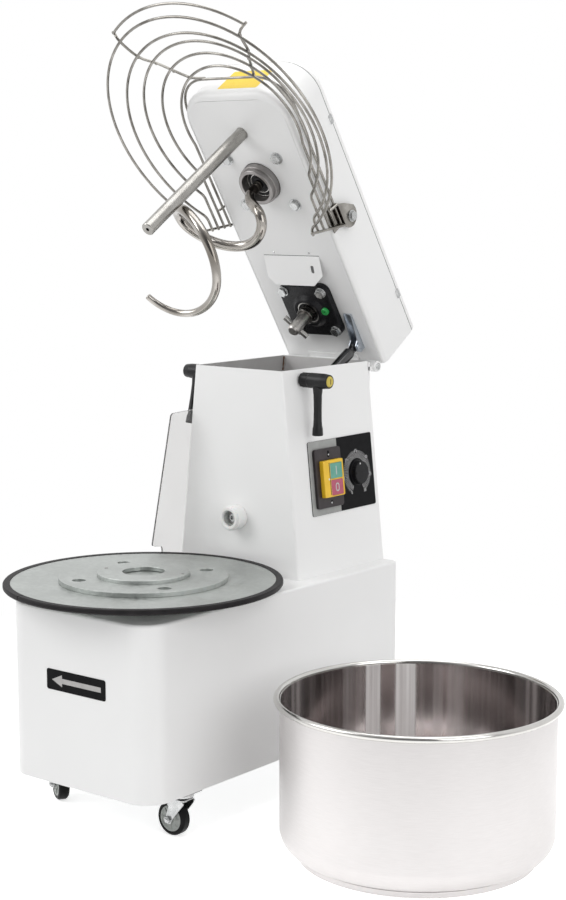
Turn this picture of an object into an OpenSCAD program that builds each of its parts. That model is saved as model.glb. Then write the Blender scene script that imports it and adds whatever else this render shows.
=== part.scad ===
// Spiral dough mixer on casters, with its head tilted up and its bowl lifted off beside it.
// Origin: floor point under the turntable axis. +X is the operator's right, -Y is the front, +Z is up.

/* [Base] */
// Height of the base's underside above the floor
base_z0 = 82; // [78:1:90]
// Height of the base's sheet box
base_h = 305; // [295:1:315]
// Left side of the base
base_x0 = -160; // [-165:1:-158]
// Right side of the base
base_x1 = 177; // [175:1:182]
// Front of the base
base_y0 = -182; // [-190:1:-175]
// Radius of the two upright front corners
base_r = 48; // [40:1:60]
// Sheet thickness of base and column
sheet = 2; // [1.5:0.1:2.5]

/* [Column] */
// Back of base and column
back_y = 526; // [524:1:528]
// Front of the column
col_y0 = 258.5; // [256:0.5:260]
// Half width of the column at its foot
col_foot = 144; // [142:1:146]
// Half width of the column at its top
col_top = 103.3; // [102:0.1:105]
// Height of the column
col_h = 380; // [378:1:381]

/* [Turntable] */
// Outer radius of the rubber edging
table_r = 245; // [243:1:247]
// Height of the plate's top above the base
table_gap = 27.5; // [27:0.1:29]
// Plate thickness
plate_t = 3; // [2.5:0.1:3.2]
// Radius of the bowl flange
flange_r = 148.5; // [146:0.5:152]
// Thickness of the bowl flange
flange_t = 8; // [7:0.5:9]
// Radius of the hub disc
hub_r = 81.6; // [79:0.1:84]
// Thickness of the hub disc
hub_t = 7; // [6:0.5:8]
// Radius of the hub disc's centre hole
hub_bore_r = 37; // [35:0.5:39]
// Pitch circle radius of the bowl stud holes
stud_pcr = 117; // [115:0.5:119]
// Radius of the bowl stud holes
stud_hole_r = 12; // [11.5:0.1:12.5]

/* [Head] */
// Angle the head stands at, above its closed position
head_rest = 56.4; // [50:0.1:57]
// Depth of the hinge axis below the column's top
hinge_drop = 12; // [11:0.5:13]
// Distance of the hinge axis behind the column
hinge_back = 21; // [20:0.5:22]
// Length of the flat bottom plate
head_len = 586; // [584:1:588]
// Half width of the bottom plate
head_w = 112; // [111:0.5:113]
// Half width of the head over its side walls
head_wide = 120; // [119:0.5:121]
// Height of the seam between shell and cover
seam_v = 107; // [106:0.5:108]
// Overall height of the head
head_h = 121; // [120:0.5:122]
// Distance of the spiral axis behind the breaker bar
spiral_gap = 103; // [100:0.5:106]
// Distance of the input shaft from the head's rear edge
input_u = 130; // [129.5:0.5:130.5]
// Distance of the breaker bar behind the bottom plate's front edge
bar_gap = 68; // [60:0.5:70]
// Length of the breaker bar below the head
bar_len = 305; // [295:1:308]

/* [Guard] */
// Radius of the guard wires
wire_r = 2.5; // [2:0.1:2.6]
// Half width of the guard at its pivots
guard_w = 126; // [125.5:0.5:127]
// Distance of the guard's pivots behind the bottom plate's front edge
guard_len = 279; // [276:1:281]

/* [Bowl] */
// Distance of the bowl to the right of the turntable axis
bowl_x = 507.5; // [500:0.5:560]
// Distance of the bowl behind the turntable axis
bowl_y = 110.5; // [90:0.5:130]
// Outer radius of the bowl wall
bowl_r = 228; // [226:0.5:230]
// Height of the bowl
bowl_h = 270; // [260:1:280]
// Radius of the bowl's bottom corner
bowl_corner = 38; // [35:1:40]
// Radius of the foot ring
foot_r = 199; // [197:0.5:201]

/* [Casters] */
// Wheel radius
wheel_r = 30; // [29.5:0.1:30]
// Wheel width
wheel_w = 20; // [18:0.5:21]
// Horizontal distance from swivel axis to axle
trail = 20; // [19:0.5:21]

/* [Hidden] */
$fn = 64;
white = [0.93, 0.93, 0.92];
zinc = [0.72, 0.73, 0.74];
steel = [0.62, 0.61, 0.59];
black = [0.07, 0.07, 0.08];
grey = [0.45, 0.46, 0.47];
yellow = [0.95, 0.78, 0.05];

base_z1 = base_z0 + base_h;
col_z1 = base_z1 + col_h;
col_lean = atan((col_foot - col_top) / col_h);
col_t = sheet / cos(col_lean);
rear_r = 12;
table_z = base_z1 + table_gap;
hinge_z = col_z1 - hinge_drop;
hinge_y = back_y + hinge_back;
head_y0 = hinge_y + 2.5;
head_z0 = hinge_z + 13.5;
drive_y = head_y0 - input_u;
bar_u = head_len - bar_gap;
spiral_u = bar_u - spiral_gap;
belt_z = base_z1 + 230;
chain_z = base_z1 - 123;
shelf_z = col_z1 - 122;
cup_z = col_z1 - 96;
bumper_z = base_z1 + 103;
gland_z = base_z0 + 68;
dial_y = 459;
dial_h = 174;
motor_x = -20;
motor_y = 330;
caster_cx = (base_x0 + base_x1) / 2;
caster_x0 = caster_cx - 143;
caster_x1 = caster_cx + 143;
caster_y0 = -72;
caster_y1 = 411;
bowl_t = 2;
bowl_floor = 10;
lever_y = 313;
lever_z = col_z1 - 19;
lever_x = 108.5;
pivot_u = head_len - guard_len;
pivot_v = 50;
strut_x = 76;
strut_u = 50;
strut_v = -15;
strut_foot_y = 280;
strut_foot_z = col_z1 - 117;
strut_up_y = hinge_y + (head_y0 - strut_u - hinge_y) * cos(head_rest)
    + (head_z0 + strut_v - hinge_z) * sin(head_rest);
strut_up_z = hinge_z - (head_y0 - strut_u - hinge_y) * sin(head_rest)
    + (head_z0 + strut_v - hinge_z) * cos(head_rest);
strut_dy = strut_foot_y - strut_up_y;
strut_dz = strut_foot_z - strut_up_z;
strut_len = sqrt(strut_dy * strut_dy + strut_dz * strut_dz);
strut_turn = atan2(-strut_dy, -strut_dz);

// A rectangle with four round corners.
module round_plan(x0, x1, y0, y1, r) {
    translate([x0 + r, y0]) square([x1 - x0 - 2 * r, y1 - y0]);
    translate([x0, y0 + r]) square([x1 - x0, y1 - y0 - 2 * r]);
    for (x = [x0 + r, x1 - r], y = [y0 + r, y1 - r])
        translate([x, y]) circle(r);
}

// The line of a band that runs round two circles.
module band_plan(a, ra, b, rb) {
    way = atan2(b[1] - a[1], b[0] - a[0]);
    lean = acos((ra - rb) / norm(b - a));
    steps = 48;
    polygon([
        for (i = [0 : steps])
            let (turn = way + lean + (360 - 2 * lean) * i / steps)
                a + ra * [cos(turn), sin(turn)],
        for (i = [0 : steps])
            let (turn = way - lean + 2 * lean * i / steps)
                b + rb * [cos(turn), sin(turn)]
    ]);
}

// A round rod from p to q.
module rod(p, q, r) {
    d = q - p;
    translate(p)
        rotate([0, acos(d[2] / norm(d)), atan2(d[1], d[0])])
            cylinder(r = r, h = norm(d));
}

// A flat plate whose outline lies in Y and Z, from x0 to x0 + t.
module side_plate(x0, t) {
    translate([x0, 0, 0])
        rotate([90, 0, 90])
            linear_extrude(t)
                children();
}

// The outline of the base's sheet box, moved in by inset.
module base_plan(inset) {
    x0 = base_x0 + inset;
    x1 = base_x1 - inset;
    y0 = base_y0 + inset;
    y1 = back_y - inset;
    rf = base_r - inset;
    rr = rear_r - inset;
    translate([x0 + rf, y0]) square([x1 - x0 - 2 * rf, 2 * rf]);
    translate([x0, y0 + rf]) square([x1 - x0, y1 - y0 - rf - rr]);
    translate([x0 + rr, y1 - 2 * rr]) square([x1 - x0 - 2 * rr, 2 * rr]);
    for (x = [x0 + rf, x1 - rf])
        translate([x, y0 + rf]) circle(rf);
    for (x = [x0 + rr, x1 - rr])
        translate([x, y1 - rr]) circle(rr);
}

module base_shell() {
    color(white)
        difference() {
            translate([0, 0, base_z0]) linear_extrude(base_h) base_plan(0);
            translate([0, 0, base_z0 - 1]) linear_extrude(base_h - sheet + 1) base_plan(sheet);
            translate([0, 0, base_z1 - 10]) cylinder(r = 32.3, h = 20);
            translate([0, drive_y, base_z1 - 10]) cylinder(r = 14, h = 20);
            translate([-100, back_y + 5, gland_z]) rotate([90, 0, 0]) cylinder(r = 10.2, h = 20);
        }
}

module base_floor() {
    color(zinc)
        difference() {
            translate([0, 0, base_z0]) linear_extrude(28) base_plan(sheet + 0.2);
            translate([0, 0, base_z0 + 3]) linear_extrude(40) base_plan(2 * sheet + 0.2);
        }
}

module arrow_plate() {
    color(black)
        translate([-57.5, base_y0, base_z0 + 166])
            rotate([90, 0, 0])
                linear_extrude(0.8)
                    round_plan(0, 138, 0, 36, 3);
}

// The column's outline in X and Z, moved in by inset, run from y0 to y1.
module column_prism(inset, y0, y1) {
    translate([0, y1, 0])
        rotate([90, 0, 0])
            linear_extrude(y1 - y0)
                polygon([
                    [-col_foot + inset, base_z1], [col_foot - inset, base_z1],
                    [col_top - inset, col_z1], [-col_top + inset, col_z1]
                ]);
}

module column_shell() {
    color(white)
        difference() {
            column_prism(0, col_y0, back_y);
            translate([0, 0, -0.001]) column_prism(col_t, col_y0 + sheet, back_y - sheet);
            translate([0, 0, col_z1 - 5])
                linear_extrude(10)
                    square_hole(col_top - col_t - 0.6, col_y0 + sheet, back_y - sheet);
            for (s = [-1, 1])
                translate([s * 90, lever_y, lever_z])
                    rotate([0, s * 90, 0])
                        cylinder(r = 6.2, h = 40);
            translate([0, col_y0 + 10, bumper_z]) rotate([90, 0, 0]) cylinder(r = 4.2, h = 20);
        }
}

// A rectangle across the column's mouth.
module square_hole(hw, y0, y1) {
    translate([-hw, y0]) square([2 * hw, y1 - y0]);
}

// Places its children on the column's right face, with X outward and Z up the slope.
module right_face() {
    translate([col_foot, 0, base_z1]) rotate([0, -col_lean, 0]) children();
}

// Places its children on the column's left face, with -X outward and Z up the slope.
module left_face() {
    translate([-col_foot, 0, base_z1]) rotate([0, col_lean, 0]) children();
}

// How far up the slope a point h above the base lies.
function slope(h) = h / cos(col_lean);

module side_shield() {
    color([0.85, 0.88, 0.9, 0.5])
        left_face()
            difference() {
                side_plate(-4, 4)
                    polygon([
                        [176, slope(42)], [203, slope(38)], [206, slope(28)], [206, slope(5)],
                        [330, slope(5)], [330, slope(297)], [203, slope(292)]
                    ]);
                for (h = [53, 273])
                    translate([1, 300, slope(h)]) rotate([0, -90, 0]) cylinder(r = 2.6, h = 8);
            }
}

module bumper() {
    color(white)
        translate([0, col_y0, bumper_z])
            rotate([90, 0, 0])
                difference() {
                    cylinder(r = 23, h = 29);
                    translate([0, 0, 12]) cylinder(r = 13, h = 20);
                    translate([0, 0, -1]) cylinder(r = 4, h = 20);
                }
    color(zinc)
        translate([0, col_y0, bumper_z])
            rotate([90, 0, 0]) {
                translate([0, 0, 12]) cylinder(r = 8, h = 5);
                translate([0, 0, -8]) cylinder(r = 4, h = 20.5);
            }
}

module control_plate() {
    color(black)
        right_face()
            difference() {
                side_plate(0, 1.5) round_plan(314, 511.5, slope(108.5), slope(245.5), 4);
                translate([-1, dial_y, slope(dial_h)]) rotate([0, 90, 0]) cylinder(r = 4.05, h = 5);
            }
}

module switch_frame() {
    color(black)
        right_face()
            side_plate(1.5, 6)
                difference() {
                    round_plan(325, 404, slope(120.5), slope(230.5), 5);
                    round_plan(338, 399, slope(140), slope(208.5), 3);
                }
}

module switch_body() {
    color(yellow)
        right_face()
            difference() {
                side_plate(1.5, 14) round_plan(338, 399, slope(140), slope(208.5), 3);
                for (h = [142.2, 173.2])
                    side_plate(6, 12) round_plan(358.7, 395.3, slope(h), slope(h + 29.1), 2);
            }
}

module push_button(h) {
    right_face()
        side_plate(9.2, 6) round_plan(359, 395, slope(h), slope(h + 28.5), 2);
}

module start_button() {
    color([0.2, 0.6, 0.4]) push_button(173.5);
}

module stop_button() {
    color([0.75, 0.15, 0.15]) push_button(142.5);
}

module timer_knob() {
    color(black)
        right_face()
            translate([0, dial_y, slope(dial_h)])
                rotate([0, 90, 0]) {
                    translate([0, 0, 0.2]) cylinder(r = 4, h = 8);
                    translate([0, 0, 1.8]) cylinder(r = 24, h = 3);
                    translate([0, 0, 4]) cylinder(r1 = 22.5, r2 = 21.5, h = 9.5);
                    translate([0, 0, 13]) translate([-19, -2, 0]) cube([38, 4, 1.5]);
                }
}

module column_hinge() {
    color(zinc) {
        for (s = [-1, 1]) {
            translate([s * 85.25, hinge_y, hinge_z])
                rotate([0, 90, 0])
                    cylinder(r = 10.5, h = 50.5, center = true);
            translate([s * 82 - 22, back_y, hinge_z - 8])
                cube([44, hinge_back, 9]);
            translate([s * 82 - 22, back_y, hinge_z - 40])
                cube([44, 4, 49]);
            translate([s * 111.5, hinge_y, hinge_z])
                rotate([0, 90, 0])
                    cylinder(r = 7, h = 2.2, center = true);
        }
        translate([0, hinge_y, hinge_z])
            rotate([0, 90, 0])
                cylinder(r = 5, h = 130, center = true);
    }
}

module column_studs() {
    color(zinc) {
        for (s = [-1, 1]) {
            translate([s * 95, lever_y, lever_z]) rotate([0, s * 90, 0]) cylinder(r = 6, h = 70);
            translate([s * 99.5, lever_y, lever_z])
                rotate([0, s * 90, 0])
                    cylinder(r = 11, h = 6, center = true, $fn = 6);
        }
        intersection() {
            column_prism(col_t, strut_foot_y - 20, strut_foot_y + 20);
            translate([108, strut_foot_y - 15, strut_foot_z - 15]) cube([20, 30, 30]);
        }
        translate([81, strut_foot_y, strut_foot_z]) rotate([0, 90, 0]) cylinder(r = 6, h = 27);
    }
}

module drive_motor() {
    color(grey)
        difference() {
            union() {
                translate([motor_x - 65, motor_y - 65, base_z1]) cube([130, 130, 5]);
                translate([motor_x, motor_y, base_z1 + 5]) cylinder(r = 62, h = 208);
                translate([motor_x, motor_y, base_z1 + 213]) cylinder(r = 40, h = 6);
            }
            translate([motor_x, motor_y, base_z1 + 190]) cylinder(r = 9.05, h = 40);
        }
}

module bearing_housings() {
    color(black) {
        difference() {
            union() {
                translate([0, 0, base_z1]) cylinder(r = 95, h = 4);
                translate([0, 0, base_z1 + 4]) cylinder(r1 = 80, r2 = 45, h = 16.5);
                translate([0, 0, base_z1 - 87]) cylinder(r = 32, h = 87);
            }
            translate([0, 0, base_z1 - 97]) cylinder(r = 20.05, h = 140);
        }
        difference() {
            union() {
                translate([0, drive_y, base_z1]) cylinder(r = 24, h = 5);
                translate([0, drive_y, base_z1 + 5]) cylinder(r = 20, h = 20);
            }
            translate([0, drive_y, base_z1 - 5]) cylinder(r = 12.05, h = 60);
        }
        difference() {
            union() {
                intersection() {
                    column_prism(col_t, drive_y - 40, drive_y + 40);
                    translate([-150, drive_y - 40, shelf_z]) cube([300, 80, 5]);
                }
                translate([0, drive_y, shelf_z]) cylinder(r = 25, h = 22);
            }
            translate([0, drive_y, shelf_z - 5]) cylinder(r = 12.05, h = 60);
        }
    }
}

module drive_bands() {
    color(black) {
        translate([0, 0, belt_z])
            linear_extrude(16)
                difference() {
                    band_plan([0, drive_y], 65.3, [motor_x, motor_y], 30.3);
                    band_plan([0, drive_y], 60.3, [motor_x, motor_y], 25.3);
                }
        translate([0, 0, chain_z])
            linear_extrude(10)
                difference() {
                    band_plan([0, 0], 127.3, [0, drive_y], 30.8);
                    band_plan([0, 0], 121.3, [0, drive_y], 24.8);
                }
    }
}

module caster_plates() {
    color(zinc)
        for (x = [caster_x0, caster_x1], y = [caster_y0, caster_y1])
            translate([x, y, 0]) {
                translate([-24, -24, base_z0 - 2.5]) cube([48, 48, 2.5]);
                translate([0, 0, 63]) cylinder(r = 6, h = base_z0 - 2 - 63);
                translate([0, 0, 62.5]) cylinder(r = 8.5, h = 3);
            }
}

module cable_gland() {
    color(black)
        difference() {
            union() {
                translate([-100, back_y + 9, gland_z]) rotate([90, 0, 0]) cylinder(r = 14, h = 9, $fn = 6);
                translate([-100, back_y + 20, gland_z]) rotate([90, 0, 0]) cylinder(r = 11, h = 12);
                translate([-100, back_y, gland_z]) rotate([90, 0, 0]) cylinder(r = 10, h = 14);
            }
            translate([-100, back_y + 25, gland_z]) rotate([90, 0, 0]) cylinder(r = 5, h = 60);
        }
}

module turntable_plate() {
    color(zinc)
        translate([0, 0, table_z - plate_t])
            difference() {
                cylinder(r = table_r - 4, h = plate_t);
                translate([0, 0, -1]) cylinder(r = 42, h = 10);
            }
}

module turntable_edging() {
    color(black)
        difference() {
            translate([0, 0, table_z - 8.5]) cylinder(r = table_r, h = 9.5);
            translate([0, 0, table_z - 20]) cylinder(r = table_r - 16, h = 40);
            translate([0, 0, table_z - plate_t]) cylinder(r = table_r - 4, h = plate_t);
        }
}

module bowl_flange() {
    color(zinc)
        difference() {
            translate([0, 0, table_z]) cylinder(r = flange_r, h = flange_t);
            translate([0, 0, table_z - 5]) cylinder(r = 42, h = 20);
            for (a = [60.4 : 90 : 330.4])
                rotate(a)
                    translate([stud_pcr, 0, table_z - 5])
                        cylinder(r = stud_hole_r, h = 20);
        }
}

module bowl_hub() {
    color(zinc)
        difference() {
            translate([0, 0, table_z + flange_t]) cylinder(r = hub_r, h = hub_t);
            translate([0, 0, table_z + flange_t - 5]) cylinder(r = hub_bore_r, h = 20);
        }
}

module turntable_shaft() {
    color(steel) {
        translate([0, 0, chain_z - 9]) cylinder(r = 20, h = table_z - plate_t + 6 - chain_z);
        translate([0, 0, table_z - plate_t - 3]) cylinder(r = 60, h = 3);
        translate([0, 0, table_z - plate_t - 1]) cylinder(r = 41.7, h = plate_t + flange_t);
        translate([0, 0, chain_z]) cylinder(r = 121, h = 10);
    }
}

module main_shaft() {
    color(steel) {
        translate([0, drive_y, chain_z - 8]) cylinder(r = 12, h = cup_z + 17 - chain_z);
        translate([0, drive_y, chain_z]) cylinder(r = 24.5, h = 10);
        translate([0, drive_y, belt_z - 3]) cylinder(r = 60, h = 22);
    }
}

module coupling_cup() {
    color(steel)
        difference() {
            translate([0, drive_y, cup_z]) cylinder(r = 31, h = 33);
            translate([0, drive_y, cup_z + 9]) cylinder(r = 20, h = 40);
            translate([0, drive_y, cup_z - 10]) cylinder(r = 12, h = 40);
            translate([0, drive_y, cup_z + 23]) rotate(52) translate([-40, -10, 0]) cube([80, 20, 20]);
        }
}

module motor_pulley() {
    color(steel) {
        translate([motor_x, motor_y, base_z1 + 195]) cylinder(r = 9, h = 57);
        translate([motor_x, motor_y, belt_z - 3]) cylinder(r = 25, h = 22);
    }
}

// A fork at the origin that trails towards +X, its two legs either side of the wheel.
module caster_fork(brake) {
    color(zinc) {
        difference() {
            union() {
                translate([0, 0, 66]) cylinder(r = 20, h = 13);
                for (s = [-1, 1])
                    translate([0, s * (wheel_w / 2 + 3) + 1.25, 0])
                        rotate([90, 0, 0])
                            linear_extrude(2.5) {
                                polygon([
                                    [-14, 68.5], [-14, 61], [trail - 8, wheel_r],
                                    [trail + 8, wheel_r], [18, 54], [21, 68.5]
                                ]);
                                translate([trail, wheel_r]) circle(8.5);
                                if (brake) polygon([[17, 68.5], [17, 56], [34, 55], [41, 58], [41, 66]]);
                            }
                translate([-14, -wheel_w / 2 - 4.25, 66]) cube([35, wheel_w + 8.5, 2.5]);
            }
            translate([0, 0, 60]) cylinder(r = 6.05, h = 30);
            translate([0, 0, 50]) cylinder(r = 8.8, h = 16);
            if (brake) translate([36, 30, 61]) rotate([90, 0, 0]) cylinder(r = 2.55, h = 60);
        }
        translate([trail, wheel_w / 2 + 7, wheel_r])
            rotate([90, 0, 0])
                cylinder(r = 4, h = wheel_w + 14);
        for (s = [-1, 1])
            translate([trail, s * (wheel_w / 2 + 5.5), wheel_r])
                rotate([90, 0, 0])
                    cylinder(r = 6.5, h = 2.5, center = true, $fn = 6);
    }
}

module caster_wheel() {
    color(black)
        translate([trail, 0, wheel_r])
            rotate([90, 0, 0])
                difference() {
                    rotate_extrude()
                        polygon([
                            [4.05, -wheel_w / 2], [10, -wheel_w / 2], [12, -wheel_w / 2 + 2],
                            [20, -wheel_w / 2 + 2], [22, -wheel_w / 2], [27, -wheel_w / 2],
                            [wheel_r, -wheel_w / 2 + 4], [wheel_r, wheel_w / 2 - 4],
                            [27, wheel_w / 2], [22, wheel_w / 2], [20, wheel_w / 2 - 2],
                            [12, wheel_w / 2 - 2], [10, wheel_w / 2], [4.05, wheel_w / 2]
                        ]);
                }
}

module brake_pedal() {
    color(black)
        difference() {
            translate([0, wheel_w / 2 + 1.4, 0])
                rotate([90, 0, 0])
                    linear_extrude(wheel_w + 2.8)
                        polygon([[30, 62], [33, 57.5], [40, 57], [62, 60], [63, 63], [44, 68], [34, 66]]);
            translate([36, 30, 61]) rotate([90, 0, 0]) cylinder(r = 2.5, h = 60);
        }
    color(zinc)
        translate([36, wheel_w / 2 + 5, 61])
            rotate([90, 0, 0])
                cylinder(r = 2.5, h = wheel_w + 10);
}

module at_caster(x, y, a) {
    translate([x, y, 0]) rotate(a) children();
}

module caster_fork_fr() { at_caster(caster_x1, caster_y0, 180) caster_fork(true); }
module caster_fork_fl() { at_caster(caster_x0, caster_y0, 150) caster_fork(true); }
module caster_fork_rr() { at_caster(caster_x1, caster_y1, 205) caster_fork(false); }
module caster_fork_rl() { at_caster(caster_x0, caster_y1, 165) caster_fork(false); }
module caster_wheel_fr() { at_caster(caster_x1, caster_y0, 180) caster_wheel(); }
module caster_wheel_fl() { at_caster(caster_x0, caster_y0, 150) caster_wheel(); }
module caster_wheel_rr() { at_caster(caster_x1, caster_y1, 205) caster_wheel(); }
module caster_wheel_rl() { at_caster(caster_x0, caster_y1, 165) caster_wheel(); }
module brake_pedal_fr() { at_caster(caster_x1, caster_y0, 180) brake_pedal(); }
module brake_pedal_fl() { at_caster(caster_x0, caster_y0, 150) brake_pedal(); }

// Places a head part, drawn with the head shut: -Y runs to the nose, Z up from the bottom plate.
module on_head() {
    translate([0, hinge_y, hinge_z])
        rotate([-head_rest, 0, 0])
            translate([0, head_y0 - hinge_y, head_z0 - hinge_z])
                children();
}

// The head's outline seen from above, with half width w, nose at n and nose radius r.
module head_plan(w, n, r, rear) {
    translate([-w, -n + r]) square([2 * w, n - r - rear]);
    translate([-w + r, -n]) square([2 * w - 2 * r, r + 1]);
    for (s = [-1, 1])
        translate([s * (w - r), -n + r]) circle(r);
}

module head_shell() {
    nose = head_len + head_wide - head_w + 6;
    color(white)
        on_head()
            difference() {
                union() {
                    hull() {
                        linear_extrude(0.1) head_plan(head_w + 0.5, head_len + 0.5, 48, 0);
                        translate([0, 0, 12]) linear_extrude(0.1) head_plan(head_wide, nose, 60, 0);
                    }
                    translate([0, 0, 12.05]) linear_extrude(seam_v - 12.05) head_plan(head_wide, nose, 60, 0);
                }
                translate([0, 0, -1]) linear_extrude(14) head_plan(head_w, head_len, 48, -1);
                translate([0, 0, 12]) linear_extrude(seam_v) head_plan(head_wide - sheet, nose - sheet, 58, sheet);
                for (s = [-1, 1])
                    translate([s * 110, -pivot_u, pivot_v])
                        rotate([0, s * 90, 0])
                            cylinder(r = 5.2, h = 20);
            }
}

module head_plate() {
    color(white)
        on_head()
            difference() {
                linear_extrude(3) head_plan(head_w, head_len, 48, 0);
                translate([0, -spiral_u, -1]) cylinder(r = 40.3, h = 10);
                translate([0, -input_u, -1]) cylinder(r = 30, h = 10);
                translate([0, -bar_u, -1]) cylinder(r = 12.2, h = 10);
            }
}

module head_cover() {
    nose = head_len + head_wide - head_w + 6;
    color(white)
        on_head() {
            difference() {
                union() {
                    translate([0, 0, seam_v])
                        linear_extrude(4)
                            head_plan(head_wide, nose, 60, 0);
                    hull() {
                        translate([0, 0, seam_v + 3.9])
                            linear_extrude(0.1)
                                head_plan(head_wide, nose, 60, 0);
                        translate([0, -0.7, head_h - 6])
                            linear_extrude(0.1)
                                head_plan(head_wide - 1.2, nose - 1.9, 58.8, 0);
                        translate([0, -3, head_h - 2])
                            linear_extrude(0.1)
                                head_plan(head_wide - 5, nose - 8, 55, 0);
                        translate([0, -8, head_h - 0.1])
                            linear_extrude(0.1)
                                head_plan(head_wide - 11, nose - 19, 49, 0);
                    }
                }
                translate([0, 0, seam_v - 1])
                    linear_extrude(head_h - seam_v - 4)
                        head_plan(head_wide - 6, nose - 6, 54, 6);
            }
            color(zinc)
                for (s = [-1, 1], u = [90, 480])
                    translate([s > 0 ? head_wide : -head_wide - 1.2, -u - 9, seam_v - 7])
                        cube([1.2, 18, 10]);
        }
}

module deflector_flap() {
    color(white)
        on_head()
            translate([0, -input_u - 119, -0.05])
                rotate([-15.5, 0, 0])
                    translate([0, 0, -1.5])
                        linear_extrude(1.5)
                            difference() {
                                polygon([
                                    [-69, 0], [63, 0], [63, 39.5], [39, 59.5],
                                    [-53, 59.5], [-69, 43.5]
                                ]);
                                translate([42, 28]) circle(4.5);
                            }
}

module spiral_housing() {
    color(steel)
        on_head()
            translate([0, -spiral_u, 0])
                difference() {
                    union() {
                        translate([0, 0, -13]) cylinder(r = 39.5, h = 13);
                        translate([0, 0, -22]) cylinder(r = 36.5, h = 22);
                        cylinder(r = 40, h = 60);
                        translate([0, 0, 3]) cylinder(r = 70, h = 6);
                    }
                    translate([0, 0, -23]) cylinder(r = 29.5, h = 21);
                    translate([0, 0, -5]) cylinder(r = 13.05, h = 90);
                }
}

module hex_bolt(r, h) {
    translate([0, 0, -h]) cylinder(r = r, h = h, $fn = 6);
}

module head_bolts() {
    color(zinc)
        on_head() {
            for (x = [-58, 58], y = [-50, 50])
                translate([x, -spiral_u + y, 0]) {
                    hex_bolt(10, 8);
                    translate([0, 0, -1.5]) cylinder(r = 12, h = 1.5);
                }
            for (x = [-45, 45], y = [-45, 45])
                translate([x, -input_u + y, -14]) {
                    hex_bolt(10, 8);
                    translate([0, 0, -1.5]) cylinder(r = 11, h = 1.5);
                }
        }
}

module breaker_bar() {
    color(steel)
        on_head()
            difference() {
                union() {
                    translate([0, -bar_u, -bar_len]) cylinder(r = 12, h = bar_len + 60);
                    translate([0, -bar_u, 3]) cylinder(r = 22, h = 10);
                }
                translate([0, -bar_u, -bar_len - 1]) cylinder(r = 3, h = 21);
            }
}

module flange_bearing() {
    color(black)
        on_head()
            translate([0, -input_u, 0])
                difference() {
                    union() {
                        translate([0, 0, -14]) linear_extrude(14) round_plan(-58, 58, -58, 58, 14);
                        translate([0, 0, -22]) cylinder(r1 = 30, r2 = 38, h = 9);
                        cylinder(r = 29, h = 12);
                    }
                    translate([0, 0, -30]) cylinder(r = 11.55, h = 60);
                    translate([0, 0, -23]) cylinder(r = 24, h = 9);
                }
    color([0.2, 0.65, 0.25])
        on_head()
            translate([39, -input_u - 2, -20]) cylinder(r = 7.5, h = 6.5);
}

module head_hinge() {
    color(zinc)
        on_head()
            difference() {
                union() {
                    translate([0, hinge_y - head_y0, hinge_z - head_z0])
                        rotate([0, 90, 0])
                            cylinder(r = 9, h = 119, center = true);
                    translate([-59.5, hinge_y - head_y0 - 6, hinge_z - head_z0])
                        cube([119, 8.5, head_z0 - hinge_z]);
                    translate([-59.5, -19, -3])
                        cube([119, 19, 3]);
                }
                translate([0, hinge_y - head_y0, hinge_z - head_z0])
                    rotate([0, 90, 0])
                        cylinder(r = 5.05, h = 130, center = true);
            }
}

module strut_bracket() {
    color(zinc)
        on_head() {
            difference() {
                union() {
                    translate([strut_x - 9, -117, -2.5]) cube([18, 81, 2.5]);
                    for (x = [strut_x - 9, strut_x + 6.5])
                        side_plate(x, 2.5)
                            polygon([
                                [-36, -2], [-36, -14], [-44, -23], [-56, -23],
                                [-62, -12], [-117, -4], [-117, -2]
                            ]);
                }
                translate([strut_x - 20, -strut_u, strut_v]) rotate([0, 90, 0]) cylinder(r = 4, h = 40);
            }
            translate([strut_x - 11, -strut_u, strut_v]) rotate([0, 90, 0]) cylinder(r = 4, h = 22);
            translate([strut_x + 9, -strut_u, strut_v]) rotate([0, 90, 0]) cylinder(r = 7, h = 3);
        }
}

module guard_pivots() {
    color(steel)
        on_head()
            for (s = [-1, 1])
                translate([0, -pivot_u, pivot_v])
                    rotate([0, s * 90, 0]) {
                        translate([0, 0, 110]) cylinder(r = 5, h = 26);
                        translate([0, 0, 120]) cylinder(r = 11, h = 8.2);
                        translate([0, 0, 131.9]) cylinder(r = 11, h = 1.5);
                        translate([0, 0, 133.4]) cylinder(r = 9, h = 5, $fn = 6);
                        translate([0, 0, 110]) cylinder(r = 11, h = 7);
                    }
}

module head_chain() {
    color(black)
        on_head()
            translate([0, 0, 72])
                linear_extrude(8)
                    difference() {
                        band_plan([0, -input_u], 54.8, [0, -spiral_u], 36.8);
                        band_plan([0, -input_u], 48.8, [0, -spiral_u], 30.8);
                    }
}

module input_shaft() {
    color(steel)
        on_head()
            translate([0, -input_u, 0]) {
                translate([0, 0, -80]) cylinder(r = 11.5, h = 177);
                translate([0, 0, 72]) cylinder(r = 48.5, h = 8);
                translate([0, 0, -34]) cylinder(r = 17, h = 19);
                translate([0, 0, -66])
                    rotate([0, 90, 52])
                        cylinder(r = 4, h = 58, center = true);
            }
}

module spiral_shaft() {
    color(steel)
        on_head()
            translate([0, -spiral_u, 0]) {
                translate([0, 0, -1]) cylinder(r = 13, h = 91);
                translate([0, 0, 72]) cylinder(r = 30.5, h = 8);
            }
}

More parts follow.
